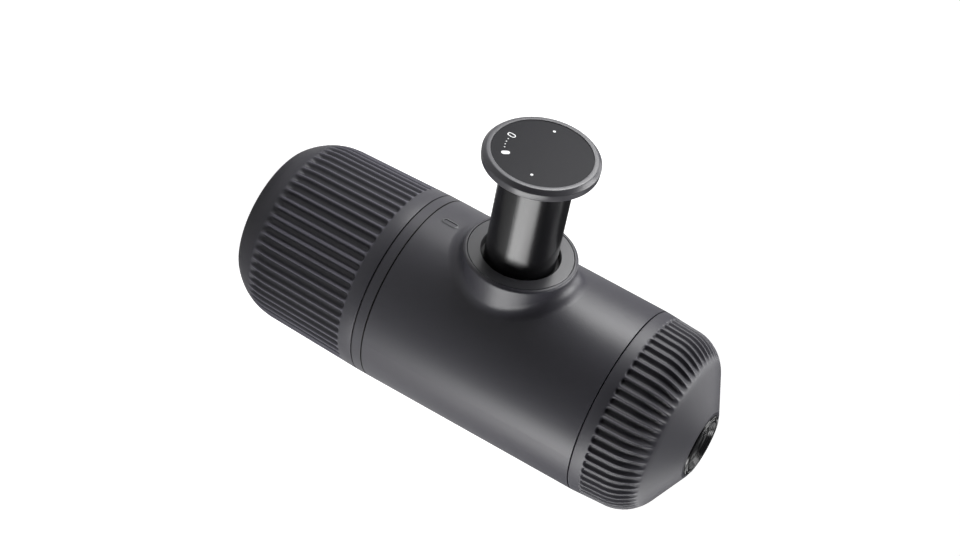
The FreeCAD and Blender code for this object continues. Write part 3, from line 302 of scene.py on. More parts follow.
def grow(piece, tree, values):
    """Runs a tree on a piece and keeps the result as the piece's plain mesh."""
    modifier = piece.modifiers.new("grow", "NODES")
    modifier.node_group = tree
    for item in tree.interface.items_tree:
        if item.in_out == "INPUT" and item.name in values:
            modifier[item.identifier] = values[item.name]
    depsgraph = bpy.context.evaluated_depsgraph_get()
    mesh = bpy.data.meshes.new_from_object(piece.evaluated_get(depsgraph))
    piece.modifiers.remove(modifier)
    piece.data = mesh
    mesh.name = piece.name
    return piece


def bend(centre, radius, start, end, steps):
    """Points of an arc, from one angle to another in degrees."""
    angles = [math.radians(start + (end - start) * step / steps) for step in range(steps + 1)]
    return [(centre[0] + radius * math.cos(angle), centre[1] + radius * math.sin(angle))
            for angle in angles]


def rounded(corners, steps=3):
    """A corner (across, up, radius) becomes a small round edge, and (across, up) stays sharp."""
    points = []
    for index, corner in enumerate(corners):
        if len(corner) == 2:
            points.append(corner)
            continue
        here = Vector(corner[:2])
        before = (Vector(corners[index - 1][:2]) - here).normalized()
        after = (Vector(corners[(index + 1) % len(corners)][:2]) - here).normalized()
        half = before.angle(after) / 2
        centre = here + (before + after).normalized() * (corner[2] / math.sin(half))
        first = here + before * (corner[2] / math.tan(half)) - centre
        last = here + after * (corner[2] / math.tan(half)) - centre
        for step in range(steps + 1):
            spoke = first.lerp(last, step / steps).normalized() * corner[2]
            points.append(tuple(centre + spoke))
    return points


def new_mesh(name, points, faces):
    """Mesh of points in millimetres."""
    mesh = bpy.data.meshes.new(name)
    mesh.from_pydata([tuple(value * MM for value in point) for point in points], [], faces)
    return mesh


def finish_mesh(mesh, sharp=35.0):
    """Turns the faces outwards and shades them smooth up to an angle in degrees."""
    work = bmesh.new()
    work.from_mesh(mesh)
    bmesh.ops.recalc_face_normals(work, faces=work.faces)
    if work.calc_volume(signed=True) < 0:
        bmesh.ops.reverse_faces(work, faces=work.faces)
    work.to_mesh(mesh)
    work.free()
    mesh.shade_smooth()
    mesh.set_sharp_from_angle(angle=math.radians(sharp))
    return mesh


def turned_mesh(name, outline, angles, on_piston=False, along=None):
    """Turns a closed outline of (radius, height) about the main axis, or about the piston's
    axis with height pointing out of the boss. A radius of 0 becomes one point."""
    points = []
    rings = []
    for radius, height in outline:
        ring_angles = angles if radius > 0 else angles[:1]
        ring = []
        for angle in ring_angles:
            ring.append(len(points))
            across, up = radius * math.cos(angle), radius * math.sin(angle)
            points.append((across, -height, PISTON_AXIS + up) if on_piston
                          else (across, up, height))
        rings.append(ring)
    faces = []
    for index, ring in enumerate(rings):
        following = rings[(index + 1) % len(rings)]
        if len(ring) == 1 and len(following) == 1:
            continue
        for step in range(len(angles)):
            after = (step + 1) % len(angles)
            corners = [ring[step % len(ring)], ring[after % len(ring)],
                       following[after % len(following)], following[step % len(following)]]
            faces.append(tuple(dict.fromkeys(corners)))
    mesh = new_mesh(name, points, faces)
    if along:
        values = [along[number] * MM for number, ring in enumerate(rings) for _ in ring]
        mesh.attributes.new("along", "FLOAT", "POINT").data.foreach_set("value", values)
    return finish_mesh(mesh)


def rib_angles(first):
    """Angles of a ribbed shell's points, closer together on the grooves' flanks."""
    return [first + (rib + share) * RIB_PITCH for rib in range(RIB_COUNT) for share in RIB_SAMPLES]


def groove_steps(length):
    """Distances along a groove: close together at both ends and wider between."""
    end = GROOVE_END_STEPS[-1]
    count = round((length - 2 * end) / GROOVE_STEP)
    between = [end + (length - 2 * end) * step / count for step in range(1, count)]
    return [*GROOVE_END_STEPS, *between, *(length - step for step in reversed(GROOVE_END_STEPS))]


def cup_outline():
    """Outline of the cup, how far along a groove each of its points lies, and the groove's
    length."""
    bend_length = CUP_BEND_RADIUS * CUP_GROOVE_FOOT
    length = bend_length + CUP_GROOVE_TOP - CUP_BEND[1]
    foot = [(0.0, 0.0), (CUP_FLAT_RADIUS, 0.0),
            *bend(CUP_FOOT_CORNER, CUP_FOOT_CORNER_RADIUS, -90.0, CUP_BENDS_MEET, 5)]
    foot += bend(CUP_BEND, CUP_BEND_RADIUS, CUP_BENDS_MEET, -math.degrees(CUP_GROOVE_FOOT), 7)[1:-1]
    grooved = []
    steps = groove_steps(length)
    for step in steps:
        if step < bend_length:
            angle = step / CUP_BEND_RADIUS - CUP_GROOVE_FOOT
            grooved.append((CUP_BEND[0] + CUP_BEND_RADIUS * math.cos(angle),
                            CUP_BEND[1] + CUP_BEND_RADIUS * math.sin(angle)))
        else:
            height = CUP_BEND[1] + step - bend_length
            spread = CUP_WALL_SPREAD * (height - CUP_BEND[1]) / CUP_WALL_RISE
            grooved.append((CUP_LOW_RADIUS + spread, height))
    inner_bend = CUP_BEND_RADIUS - CUP_WALL
    rim = rounded([grooved[-1], (CUP_RIM_RADIUS, CUP_RIM, 0.08), (CUP_RIM_INSIDE, CUP_RIM, 0.3),
                   (CUP_BEND[0] + inner_bend, CUP_BEND[1])])[1:-1]
    inside = [*CUP_INSIDE_WALL, *bend(CUP_BEND, inner_bend, 0.0, CUP_BENDS_MEET, 7)]
    inside += bend(CUP_FOOT_CORNER, CUP_FOOT_CORNER_RADIUS - CUP_WALL, CUP_BENDS_MEET, -90.0, 3)[1:]
    inside += [(CUP_FLAT_RADIUS, CUP_WALL), (0.0, CUP_WALL)]
    along = [-1.0] * len(foot) + steps + [-1.0] * (len(rim) + len(inside))
    return foot + grooved + rim + inside, along, length


def new_material(name):
    """A new material, its tree, its Principled shader and its Object coordinates."""
    made = bpy.data.materials.new(name)
    made.use_nodes = True
    tree = made.node_tree
    place = tree.nodes.new("ShaderNodeTexCoord").outputs["Object"]
    return made, tree, tree.nodes["Principled BSDF"], place


def cover(tree, shader, skin, values):
    """Lets a skin group set a shader's colour, roughness and normal."""
    group = add_node(tree, "ShaderNodeGroup", values, node_tree=skin)
    feed(tree, shader.inputs["Base Color"], group.outputs["Colour"])
    feed(tree, shader.inputs["Roughness"], group.outputs["Roughness"])
    feed(tree, shader.inputs["Normal"], group.outputs["Normal"])


def make_moulded_skin():
    """Fine spark-eroded texture of a moulded plastic skin, with faint uneven colour."""
    tree, given, result = new_tree("moulded_skin", "ShaderNodeTree", (
        ("Place", "Vector", None), ("Colour", "Color", (0.06, 0.06, 0.065, 1.0)),
        ("Unevenness", "Float", 0.08), ("Blotch Scale", "Float", 45.0),
        ("Grain Size", "Float", 0.0004), ("Grain Height", "Float", 0.00001),
        ("Roughness", "Float", 0.42), ("Roughness Spread", "Float", 0.06),
        ("Light Mask", "Float", 0.0), ("Painted Light", "Float", 0.0)),
        (("Colour", "Color"), ("Roughness", "Float"), ("Normal", "Vector")))
    grain = add_node(tree, "ShaderNodeTexNoise", {
        "Vector": given["Place"], "Scale": maths(tree, "DIVIDE", 1.0, given["Grain Size"]),
        "Detail": 2.0}).outputs[0]
    broad = add_node(tree, "ShaderNodeTexNoise", {
        "Vector": given["Place"], "Scale": given["Blotch Scale"], "Detail": 3.0}).outputs[0]
    swing = maths(tree, "MULTIPLY", maths(tree, "SUBTRACT", broad, 0.5), given["Unevenness"])
    # Painted light: the masked rib crests are painted lighter as a highlight, and the masked seam
    # edges are painted darker as shade when the amount is negative.
    painted_gain = maths(tree, "MULTIPLY", given["Light Mask"], given["Painted Light"])
    gain = maths(tree, "ADD", maths(tree, "ADD", 1.0, painted_gain), maths(tree, "MULTIPLY", swing, 2.0))
    feed(tree, result["Colour"], scaled(tree, given["Colour"], gain))
    rough = maths(tree, "MULTIPLY", maths(tree, "SUBTRACT", grain, 0.5), given["Roughness Spread"])
    feed(tree, result["Roughness"], maths(tree, "ADD", given["Roughness"], rough))
    bump = add_node(tree, "ShaderNodeBump", {"Height": grain, "Distance": given["Grain Height"]})
    feed(tree, result["Normal"], bump.outputs[0])
    return tree


def make_seam_mask():
    """Mask for painted shade: 1 next to the two seams at the tank's collar, and 0 away from them.
    """
    tree, given, result = new_tree("seam_mask", "ShaderNodeTree", (
        ("Place", "Vector", None), ("Lower Seam", "Float", 0.0496),
        ("Upper Seam", "Float", 0.0533), ("Dark Reach", "Float", 0.00024),
        ("Clear Reach", "Float", 0.00036)), (("Mask", "Float"),))
    height = add_node(tree, "ShaderNodeSeparateXYZ", {0: given["Place"]}).outputs[2]
    gaps = [maths(tree, "ABSOLUTE", maths(tree, "SUBTRACT", height, given[label]))
            for label in ("Lower Seam", "Upper Seam")]
    nearest = maths(tree, "MINIMUM", *gaps)
    clear = eased(tree, nearest, given["Dark Reach"], given["Clear Reach"])
    feed(tree, result["Mask"], maths(tree, "SUBTRACT", 1.0, clear))
    return tree


moulded_skin = make_moulded_skin()
seam_mask = make_seam_mask()


def moulded(name, colour, roughness, grain=0.0004, height=0.000012, unevenness=0.08, ior=1.5,
            painted_light=0.0, seamed=False):
    """Moulded plastic or rubber with the fine skin of its tool. A positive painted light paints its
    crests lighter as a painted highlight, and a negative one paints the edges of its seams darker
    as painted shade."""
    made, tree, shader, place = new_material(name)
    if seamed:
        crest = add_node(tree, "ShaderNodeGroup", {"Place": place}, node_tree=seam_mask).outputs[0]
    else:
        crest = add_node(tree, "ShaderNodeAttribute", attribute_name="crest").outputs["Fac"]
    cover(tree, shader, moulded_skin, {
        "Place": place, "Colour": (*colour, 1.0), "Unevenness": unevenness, "Grain Size": grain,
        "Grain Height": height, "Roughness": roughness, "Light Mask": crest, "Painted Light": painted_light})
    shader.inputs["IOR"].default_value = ior
    return made


grip_grooves = make_groove_tree()
# The cup's rib crests carry a strong painted highlight, lighter than the plastic's own colour.
cup_plastic = moulded("cup_plastic", SHELL_COLOUR, roughness=0.40, painted_light=1.7)
outline, along, groove_length = cup_outline()
cup = new_piece("ribbed_cup", turned_mesh("ribbed_cup", outline, rib_angles(CUP_FIRST_GROOVE),
                                          along=along))
grow(cup, grip_grooves, {
    "First Groove": CUP_FIRST_GROOVE, "Half Width Share": GROOVE_SHARE,
    "Depth": CUP_GROOVE_DEPTH * MM, "Length": groove_length * MM, "Fade In": CUP_FADE_IN * MM,
    "Fade Out": CUP_FADE_OUT * MM, "Edge Share": CUP_GROOVE_EDGE, "Finish": cup_plastic})
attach(cup, "drinking_cup")
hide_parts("cup")


# Outlet head: the other ribbed end, moulded like the cup. It screws into the group head with
# its neck, holds the basket, and its round shoulder leads to the flat cone of the spout.
HEAD_GROOVE_DEPTH = 1.0
HEAD_GROOVE_EDGE = 0.66
HEAD_FADE_IN = 0.9
HEAD_FADE_OUT = 4.5
HEAD_FIRST_GROOVE = math.radians(4.0)
HEAD_GROOVE_LOW = 131.1
HEAD_GROOVE_END = 56.0
HEAD_SHOULDER = (16.85, 137.803)
HEAD_SHOULDER_RADIUS = 13.0
HEAD_SHOULDER_END = 62.5
HEAD_LOW = 127.65
HEAD_LOW_RADIUS = 30.5
HEAD_WALL_TAPER = 0.65
HEAD_WALL_RISE = 10.153
# Outlines as (radius, height) with the corner's radius third, up the neck, then down inside.
HEAD_NECK = [(24.8, 121.8), (24.8, 119.5, 0.2), (26.8, 119.5, 0.3), (26.8, HEAD_LOW),
             (HEAD_LOW_RADIUS, HEAD_LOW, 0.25), (30.3, 130.5)]
HEAD_CONE = [(18.9, 151.39), (15.0, 153.42)]
HEAD_TIP = [(15.0, 153.42), (11.2, 155.4, 0.5), (9.9, 155.4, 0.2), (9.9, 150.0)]
HEAD_INSIDE = [(9.9, 150.0), (6.0, 150.0), (6.0, 142.5), (2.5, 142.5), (2.5, 141.0),
               (12.0, 139.82), (22.6, 138.5), (22.6, 121.8), (24.8, 121.8)]


def head_outline():
    """Outline of the head, how far along a groove each of its points lies, and the groove's
    length."""
    wall = HEAD_SHOULDER[1] - HEAD_GROOVE_LOW
    length = wall + HEAD_SHOULDER_RADIUS * math.radians(HEAD_GROOVE_END)
    neck = rounded(HEAD_NECK)[1:-1]
    grooved = []
    steps = groove_steps(length)
    for step in steps:
        if step < wall:
            height = HEAD_GROOVE_LOW + step
            taper = HEAD_WALL_TAPER * (height - HEAD_LOW) / HEAD_WALL_RISE
            grooved.append((HEAD_LOW_RADIUS - taper, height))
        else:
            angle = (step - wall) / HEAD_SHOULDER_RADIUS
            grooved.append((HEAD_SHOULDER[0] + HEAD_SHOULDER_RADIUS * math.cos(angle),
                            HEAD_SHOULDER[1] + HEAD_SHOULDER_RADIUS * math.sin(angle)))
    shoulder = bend(HEAD_SHOULDER, HEAD_SHOULDER_RADIUS, HEAD_GROOVE_END, HEAD_SHOULDER_END, 2)[1:]
    plain = shoulder + HEAD_CONE + rounded(HEAD_TIP)[1:-1] + HEAD_INSIDE
    along = [-1.0] * len(neck) + steps + [-1.0] * len(plain)
    return neck + grooved + plain, along, length


# The head's rib crests carry a faint painted highlight.
head_plastic = moulded("head_plastic", SHELL_COLOUR, roughness=0.47, painted_light=0.15)
outline, along, groove_length = head_outline()
head = new_piece("ribbed_head", turned_mesh("ribbed_head", outline, rib_angles(HEAD_FIRST_GROOVE),
                                            along=along))
grow(head, grip_grooves, {
    "First Groove": HEAD_FIRST_GROOVE, "Half Width Share": GROOVE_SHARE,
    "Depth": HEAD_GROOVE_DEPTH * MM, "Length": groove_length * MM, "Fade In": HEAD_FADE_IN * MM,
    "Fade Out": HEAD_FADE_OUT * MM, "Edge Share": HEAD_GROOVE_EDGE, "Finish": head_plastic})
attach(head, "outlet")
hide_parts("outlet_head")


# Main housing: the long smooth shell between the seams, with the piston's boss drawn out of
# its wall. It is moulded in the same plastic as the cup and keeps its CAD shape.
# Painted shade: the housing and the tank are painted darker right next to their seams, where shade
# falls in the gaps.
SEAM_SHADE = -0.9


def dress(names, material):
    """Gives CAD nodes a finish. Their shape stays."""
    for name in names:
        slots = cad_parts[name].material_slots
        for slot in slots:
            slot.link = "OBJECT"
            slot.material = material


dress(["main_housing"],
      moulded("housing_plastic", SHELL_COLOUR, roughness=0.40, painted_light=SEAM_SHADE, seamed=True))


# Index mark: an oblong lip moulded on the housing, gently sloped outside and steep inside, so
# that its middle looks let in. It lines up with the tank's collar.
HOUSING_LOW = 53.45
HOUSING_LOW_RADIUS = 31.0
HOUSING_TAPER = 0.5
HOUSING_RISE = 73.9
MARK_COLOUR = (0.075, 0.077, 0.083)
MARK_MIDDLE = 59.8
MARK_ACROSS = -1.25
MARK_LENGTH = 4.7
MARK_WIDTH = 1.5
MARK_BORDER = 1.2
MARK_SUNK = 0.08
MARK_PROFILE = ((0.0, 0.0), (0.0, 0.09), (0.35, 0.19), (0.7, 0.30), (0.86, 0.32), (0.97, 0.30),
                (1.0, 0.25), (1.0, 0.0))


def oblong(length, width, steps=8):
    """Points of an upright oblong with round ends, (across, up)."""
    straight = (length - width) / 2
    upper = bend((0.0, straight), width / 2, 0.0, 180.0, steps)
    lower = bend((0.0, -straight), width / 2, 180.0, 360.0, steps)
    return upper + lower


def raised_ring(name, outer, inner, place, profile):
    """A low ridge between two outlines of as many points, placed by a function. Its profile
    is (share of the way from the outer to the inner outline, level)."""
    count = len(outer)
    points = [place(*Vector(far).lerp(Vector(near), share), level)
              for share, level in profile for far, near in zip(outer, inner)]
    faces = []
    for row in range(len(profile)):
        here, after = row * count, (row + 1) % len(profile) * count
        for step in range(count):
            beside = (step + 1) % count
            faces.append((here + step, here + beside, after + beside, after + step))
    return new_piece(name, finish_mesh(new_mesh(name, points, faces)))


def on_housing(across, up, level):
    """Places points on the housing's tapered wall, below the boss."""
    height = MARK_MIDDLE + up
    taper = HOUSING_TAPER * (height - HOUSING_LOW) / HOUSING_RISE
    radius = HOUSING_LOW_RADIUS - taper - MARK_SUNK + level
    sideways = MARK_ACROSS + across
    return (sideways, -math.sqrt(radius * radius - sideways * sideways), height)


mark = raised_ring("index_mark", oblong(MARK_LENGTH + MARK_BORDER, MARK_WIDTH + MARK_BORDER),
                   oblong(MARK_LENGTH, MARK_WIDTH), on_housing, MARK_PROFILE)
mark.data.materials.append(moulded("mark_plastic", MARK_COLOUR, roughness=0.36))
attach(mark, "main_body")


# Lock collar: the flat lighter ring let into the boss's face round the sleeve. It is moulded
# with a smoother face than the housing, which mirrors the sleeve and the lamps.
COLLAR_COLOUR = (0.050, 0.050, 0.055)
FINE_GRAIN = 0.000006
dress(["lock_collar"],
      moulded("collar_plastic", COLLAR_COLOUR, roughness=0.25, grain=0.00035, height=FINE_GRAIN))


# Piston: a polished black sleeve with a satin push cap screwed on its end. The cap's edge is
# rounded, and its thin dark inlay lies in a shallow recess behind a small lip.
SLEEVE_COLOUR = (0.008, 0.008, 0.009)
CAP_COLOUR = (0.062, 0.061, 0.069)
INLAY_COLOUR = (0.011, 0.011, 0.014)
POLISHED_GRAIN = 0.000004
CAP_OUTLINE = rounded([
    (1.6, 70.6), (14.6, 70.6), (17.4, 70.4, 0.4), (17.5, 72.8, 0.6), (16.4, 74.0, 0.7),
    (15.05, 74.0, 0.1), (15.05, 73.82), (15.4, 73.82), (15.4, 73.1), (3.2, 73.1),
    (3.2, 71.7), (1.6, 71.7)], 5)
SMOOTH_STEPS = 192
SMOOTH_TURN = [math.tau * step / SMOOTH_STEPS for step in range(SMOOTH_STEPS)]

dress(["piston_sleeve"],
      moulded("sleeve_plastic", SLEEVE_COLOUR, roughness=0.24, height=POLISHED_GRAIN))
cap = new_piece("push_cap", turned_mesh("push_cap", CAP_OUTLINE, SMOOTH_TURN, on_piston=True))
cap.data.materials.append(moulded("cap_plastic", CAP_COLOUR, roughness=0.29, height=FINE_GRAIN))
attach(cap, "piston")
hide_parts("piston_cap")
dress(["cap_inlay"],
      moulded("inlay_film", INLAY_COLOUR, roughness=0.42, height=FINE_GRAIN, ior=1.2))


# Printed marks: light ink on the inlay, an oblong for locked and an outlined oblong for open,
# a row of dots between them, and two dots further round.
INK_COLOUR = (0.75, 0.76, 0.77)
INK_FACE = 73.8
INK_SUNK = 0.02
INK_HIGH = 0.03
INK_PROFILE = ((0.0, 0.0), (0.0, 0.7 * INK_HIGH), (0.22, INK_HIGH), (0.78, INK_HIGH),
               (1.0, 0.7 * INK_HIGH), (1.0, 0.0))
# Each mark's turn in degrees and its distance from the middle.
LOCKED_PLACE = (140.0, 10.8)
LOCKED_SIZE = (2.6, 1.5)
OPEN_PLACE = (-175.0, 11.1)
OPEN_SIZE = (2.7, 1.6)
OPEN_INNER_SIZE = (2.1, 1.0)
LEFT_DOT_PLACE = (-103.0, 11.2)
RIGHT_DOT_PLACE = (76.0, 10.6)
SINGLE_DOT = 0.45
ROW_DOT = 0.2
ROW_COUNT = 5
ROW_START = 153.0
ROW_PITCH = 7.0
ROW_RING = 11.0


def on_inlay(turn, ring):
    """Places points on the inlay, turned from straight up towards the right, in degrees."""
    spoke = math.radians(turn)

    def place(across, up, level):
        out = ring + up
        return (out * math.sin(spoke) + across * math.cos(spoke), -(INK_FACE - INK_SUNK + level),
                PISTON_AXIS + out * math.cos(spoke) - across * math.sin(spoke))
    return place


def printed_patch(name, outline, place):
    """A thin printed patch with a flat face."""
    count = len(outline)
    points = [place(*point, level) for level in (0.0, INK_HIGH) for point in outline]
    faces = [tuple(range(count)), tuple(range(count, 2 * count))]
    for step in range(count):
        beside = (step + 1) % count
        faces.append((step, beside, count + beside, count + step))
    return new_piece(name, finish_mesh(new_mesh(name, points, faces)))


def dot(radius):
    """Points of a round dot."""
    return bend((0.0, 0.0), radius, 0.0, 345.0, 23)


marks = [printed_patch("mark_locked", oblong(*LOCKED_SIZE), on_inlay(*LOCKED_PLACE)),
         raised_ring("mark_open", oblong(*OPEN_SIZE), oblong(*OPEN_INNER_SIZE),
                     on_inlay(*OPEN_PLACE), INK_PROFILE),
         printed_patch("mark_dot_left", dot(SINGLE_DOT), on_inlay(*LEFT_DOT_PLACE)),
         printed_patch("mark_dot_right", dot(SINGLE_DOT), on_inlay(*RIGHT_DOT_PLACE))]
for number in range(ROW_COUNT):
    marks.append(printed_patch("mark_step_%d" % (number + 1), dot(ROW_DOT),
                               on_inlay(ROW_START + ROW_PITCH * number, ROW_RING)))
ink = moulded("printed_ink", INK_COLOUR, roughness=0.5, height=POLISHED_GRAIN, unevenness=0.05)
for piece in marks:
    piece.data.materials.append(ink)
    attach(piece, "piston")


# Spout: polished black insert in the head's tip. Its lip has a fine groove and a rounded edge,
# and its dish steps down in small rounded rings to the hole in the middle.
SPOUT_COLOUR = (0.010, 0.010, 0.011)
SPOUT_OUTLINE = rounded([
    (4.2, 150.0), (9.85, 150.0), (9.85, 156.0, 0.22), (9.25, 156.0, 0.06), (9.1, 155.75, 0.05),
    (8.9, 155.75, 0.05), (8.75, 156.0, 0.06), (7.85, 156.0, 0.14), (7.8, 155.6, 0.06),
    (7.5, 155.5, 0.06), (7.45, 155.15, 0.06), (7.1, 155.05, 0.06), (7.05, 154.75, 0.06),
    (5.6, 154.5, 0.08), (5.5, 154.25, 0.06), (4.0, 154.2, 0.2), (2.0, 153.0, 0.15),
    (2.0, 151.5), (4.2, 151.5)], 3)
spout = new_piece("spout_insert", turned_mesh("spout_insert", SPOUT_OUTLINE, SMOOTH_TURN))
spout.data.materials.append(moulded("spout_plastic", SPOUT_COLOUR, roughness=0.2, height=0.000003))
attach(spout, "outlet")
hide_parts("nozzle_insert")


# Water tank: semi-gloss dark bowl inside the cup. Only its collar shows between the cup and
# the housing. Its screwed neck carries three thread ridges, and so does the outlet head's.
NECK_RADIUS = 26.68
RIDGE_STARTS = 3
RIDGE_WIRE = 0.34
RIDGE_STEPS = 60
TANK_RIDGES = (54.4, 58.6)
TANK_LEAD = 18.0
HEAD_RIDGES = (120.4, 126.4)
HEAD_LEAD = 20.0


def make_helix_tree():
    """Wires that climb round an axis, evenly started, with ends that thin out if asked for."""
    tree, given, result = new_tree("helix_wires", "GeometryNodeTree", (
        ("Geometry", "Geometry", None), ("Starts", "Int", 1), ("Steps", "Int", 200),
        ("Turns", "Float", 4.0), ("End Turns", "Float", 1.0), ("Radius", "Float", 0.006),
        ("Length", "Float", 0.04), ("Wire", "Float", 0.0005), ("Thin Ends", "Float", 0.001),
        ("Wire Sides", "Int", 12), ("Finish", "Material", None)), (("Geometry", "Geometry"),))
    line = add_node(tree, "GeometryNodeMeshLine", {"Count": given["Steps"]})
    index = tree.nodes.new("GeometryNodeInputIndex").outputs[0]
    share = maths(tree, "DIVIDE", index, maths(tree, "SUBTRACT", given["Steps"], 1.0))
    turns = maths(tree, "MULTIPLY", share, given["Turns"])
    closed = maths(tree, "MULTIPLY", given["End Turns"], given["Wire"])
    open_turns = maths(tree, "SUBTRACT", given["Turns"],
                       maths(tree, "MULTIPLY", given["End Turns"], 2.0))
    low = maths(tree, "MINIMUM", turns, given["End Turns"])
    above = maths(tree, "SUBTRACT", maths(tree, "SUBTRACT", turns, given["End Turns"]), open_turns)
    high = maths(tree, "MAXIMUM", above, 0.0)
    middle_turns = maths(tree, "SUBTRACT", maths(tree, "SUBTRACT", turns, low), high)
    climb = maths(tree, "SUBTRACT", given["Length"], maths(tree, "MULTIPLY", closed, 4.0))
    closed_up = maths(tree, "MULTIPLY", maths(tree, "ADD", low, high),
                      maths(tree, "MULTIPLY", given["Wire"], 2.0))
    open_up = maths(tree, "MULTIPLY", maths(tree, "DIVIDE", middle_turns, open_turns), climb)
    angle = maths(tree, "MULTIPLY", turns, math.tau)
    place = add_node(tree, "ShaderNodeCombineXYZ", {
        0: maths(tree, "MULTIPLY", given["Radius"], maths(tree, "COSINE", angle)),
        1: maths(tree, "MULTIPLY", given["Radius"], maths(tree, "SINE", angle)),
        2: maths(tree, "ADD", closed_up, open_up)})
    bent = add_node(tree, "GeometryNodeSetPosition",
                    {"Geometry": line.outputs[0], "Position": place.outputs[0]})
    curve = add_node(tree, "GeometryNodeMeshToCurve", {"Mesh": bent.outputs[0]})
    from_end = maths(tree, "MINIMUM", share, maths(tree, "SUBTRACT", 1.0, share))
    thin = eased(tree, from_end, maths(tree, "MULTIPLY", given["Thin Ends"], -1.0),
                 given["Thin Ends"])
    tapered = add_node(tree, "GeometryNodeSetCurveRadius",
                       {"Curve": curve.outputs[0], "Radius": thin})
    ring = add_node(tree, "GeometryNodeCurvePrimitiveCircle",
                    {"Resolution": given["Wire Sides"], "Radius": given["Wire"]})
    wire = add_node(tree, "GeometryNodeCurveToMesh", {
        "Curve": tapered.outputs[0], "Profile Curve": ring.outputs[0], "Scale": thin,
        "Fill Caps": True})
    starts = add_node(tree, "GeometryNodeMeshLine",
                      {"Count": given["Starts"], "Offset": (0.0, 0.0, 0.0)})
    copy = tree.nodes.new("GeometryNodeInputIndex").outputs[0]
    spin = maths(tree, "DIVIDE", maths(tree, "MULTIPLY", copy, math.tau), given["Starts"])
    facing = add_node(tree, "ShaderNodeCombineXYZ", {2: spin})
    copies = add_node(tree, "GeometryNodeInstanceOnPoints", {
        "Points": starts.outputs[0], "Instance": wire.outputs[0], "Rotation": facing.outputs[0]})
    feed(tree, result[0], finished(tree, copies.outputs[0], given["Finish"]))
    return tree


helix_wires = make_helix_tree()


def wound(name, values, place):
    """A piece wound by the helix tree, then moved to its place."""
    piece = new_piece(name, bpy.data.meshes.new(name))
    grow(piece, helix_wires, values)
    piece.data.materials.clear()
    piece.data.materials.append(values["Finish"])
    piece.data.transform(place)
    finish_mesh(piece.data, 60.0)
    return piece


def neck_ridges(name, heights, lead, finish):
    """Thread ridges on a screwed neck, between two heights."""
    low, high = heights
    return wound(name, {
        "Starts": RIDGE_STARTS, "Steps": RIDGE_STEPS, "Turns": (high - low) / lead,
        "End Turns": 0.0, "Radius": NECK_RADIUS * MM, "Length": (high - low) * MM,
        "Wire": RIDGE_WIRE * MM, "Thin Ends": 0.12, "Finish": finish},
        Matrix.Translation((0.0, 0.0, low * MM)))


# The tank's collar also gets painted shade next to its seams.
tank_plastic = moulded("tank_plastic", SHELL_COLOUR, roughness=0.38, painted_light=SEAM_SHADE, seamed=True)
dress(["water_tank"], tank_plastic)
tank_ridges = neck_ridges("tank_thread", TANK_RIDGES, TANK_LEAD, tank_plastic)
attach(tank_ridges, "tank")
head_ridges = neck_ridges("head_thread", HEAD_RIDGES, HEAD_LEAD, head_plastic)
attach(head_ridges, "outlet")


# Springs: bright drawn wire with closed ends. The return spring stands round the plunger's
# rod, and 13.6 of its 47.6 mm are left when the piston is pressed in. The small one holds
# the pressure valve on its seat, and 5.0 of its 6.5 mm are left when the valve is lifted.
SPRING_COLOUR = (0.56, 0.56, 0.57)
RETURN_SPRING = (21.0, 68.6)
RETURN_RADIUS = 6.2
RETURN_WIRE = 0.5
RETURN_TURNS = 11.0
RETURN_STEPS = 440
VALVE_SPRING_FOOT = 145.35
VALVE_SPRING_LENGTH = 5.8
VALVE_SPRING_RADIUS = 2.9
VALVE_SPRING_WIRE = 0.35
VALVE_SPRING_TURNS = 5.5
VALVE_SPRING_STEPS = 192


def make_streaked_metal():
    """Metal with fine streaks round an axis, as turning and drawing leave them."""
    tree, given, result = new_tree("streaked_metal", "ShaderNodeTree", (
        ("Place", "Vector", None), ("Colour", "Color", (0.6, 0.6, 0.61, 1.0)),
        ("Colour Spread", "Float", 0.2), ("Streak Size", "Float", 0.0003),
        ("Streak Height", "Float", 0.000004), ("Roughness", "Float", 0.28),
        ("Roughness Spread", "Float", 0.12)),
        (("Colour", "Color"), ("Roughness", "Float"), ("Normal", "Vector")))
    parts = add_node(tree, "ShaderNodeSeparateXYZ", {0: given["Place"]}).outputs
    rings = add_node(tree, "ShaderNodeCombineXYZ",
                     {0: diagonal(tree, parts[0], parts[1]), 2: parts[2]}).outputs[0]
    streaks = add_node(tree, "ShaderNodeTexNoise", {
        "Vector": rings, "Scale": maths(tree, "DIVIDE", 1.0, given["Streak Size"]),
        "Detail": 3.0}).outputs[0]
    swing = maths(tree, "SUBTRACT", streaks, 0.5)
    gain = maths(tree, "ADD", 1.0, maths(tree, "MULTIPLY", swing, given["Colour Spread"]))
    feed(tree, result["Colour"], scaled(tree, given["Colour"], gain))
    rough = maths(tree, "MULTIPLY", swing, given["Roughness Spread"])
    feed(tree, result["Roughness"], maths(tree, "ADD", given["Roughness"], rough))
    bump = add_node(tree, "ShaderNodeBump",
                    {"Height": streaks, "Distance": given["Streak Height"]})
    feed(tree, result["Normal"], bump.outputs[0])
    return tree


streaked_metal = make_streaked_metal()


def steel(name, colour, roughness, streak, centre=(0.0, 0.0, 0.0), turn=(0.0, 0.0, 0.0)):
    """Stainless steel whose streaks run round the main axis, or round a turned one."""
    made, tree, shader, place = new_material(name)
    mapping = add_node(tree, "ShaderNodeMapping",
                       {"Vector": place, "Location": centre, "Rotation": turn},
                       vector_type="TEXTURE")
    cover(tree, shader, streaked_metal, {
        "Place": mapping.outputs[0], "Colour": (*colour, 1.0), "Streak Size": streak,
        "Roughness": roughness})
    shader.inputs["Metallic"].default_value = 1.0
    return made


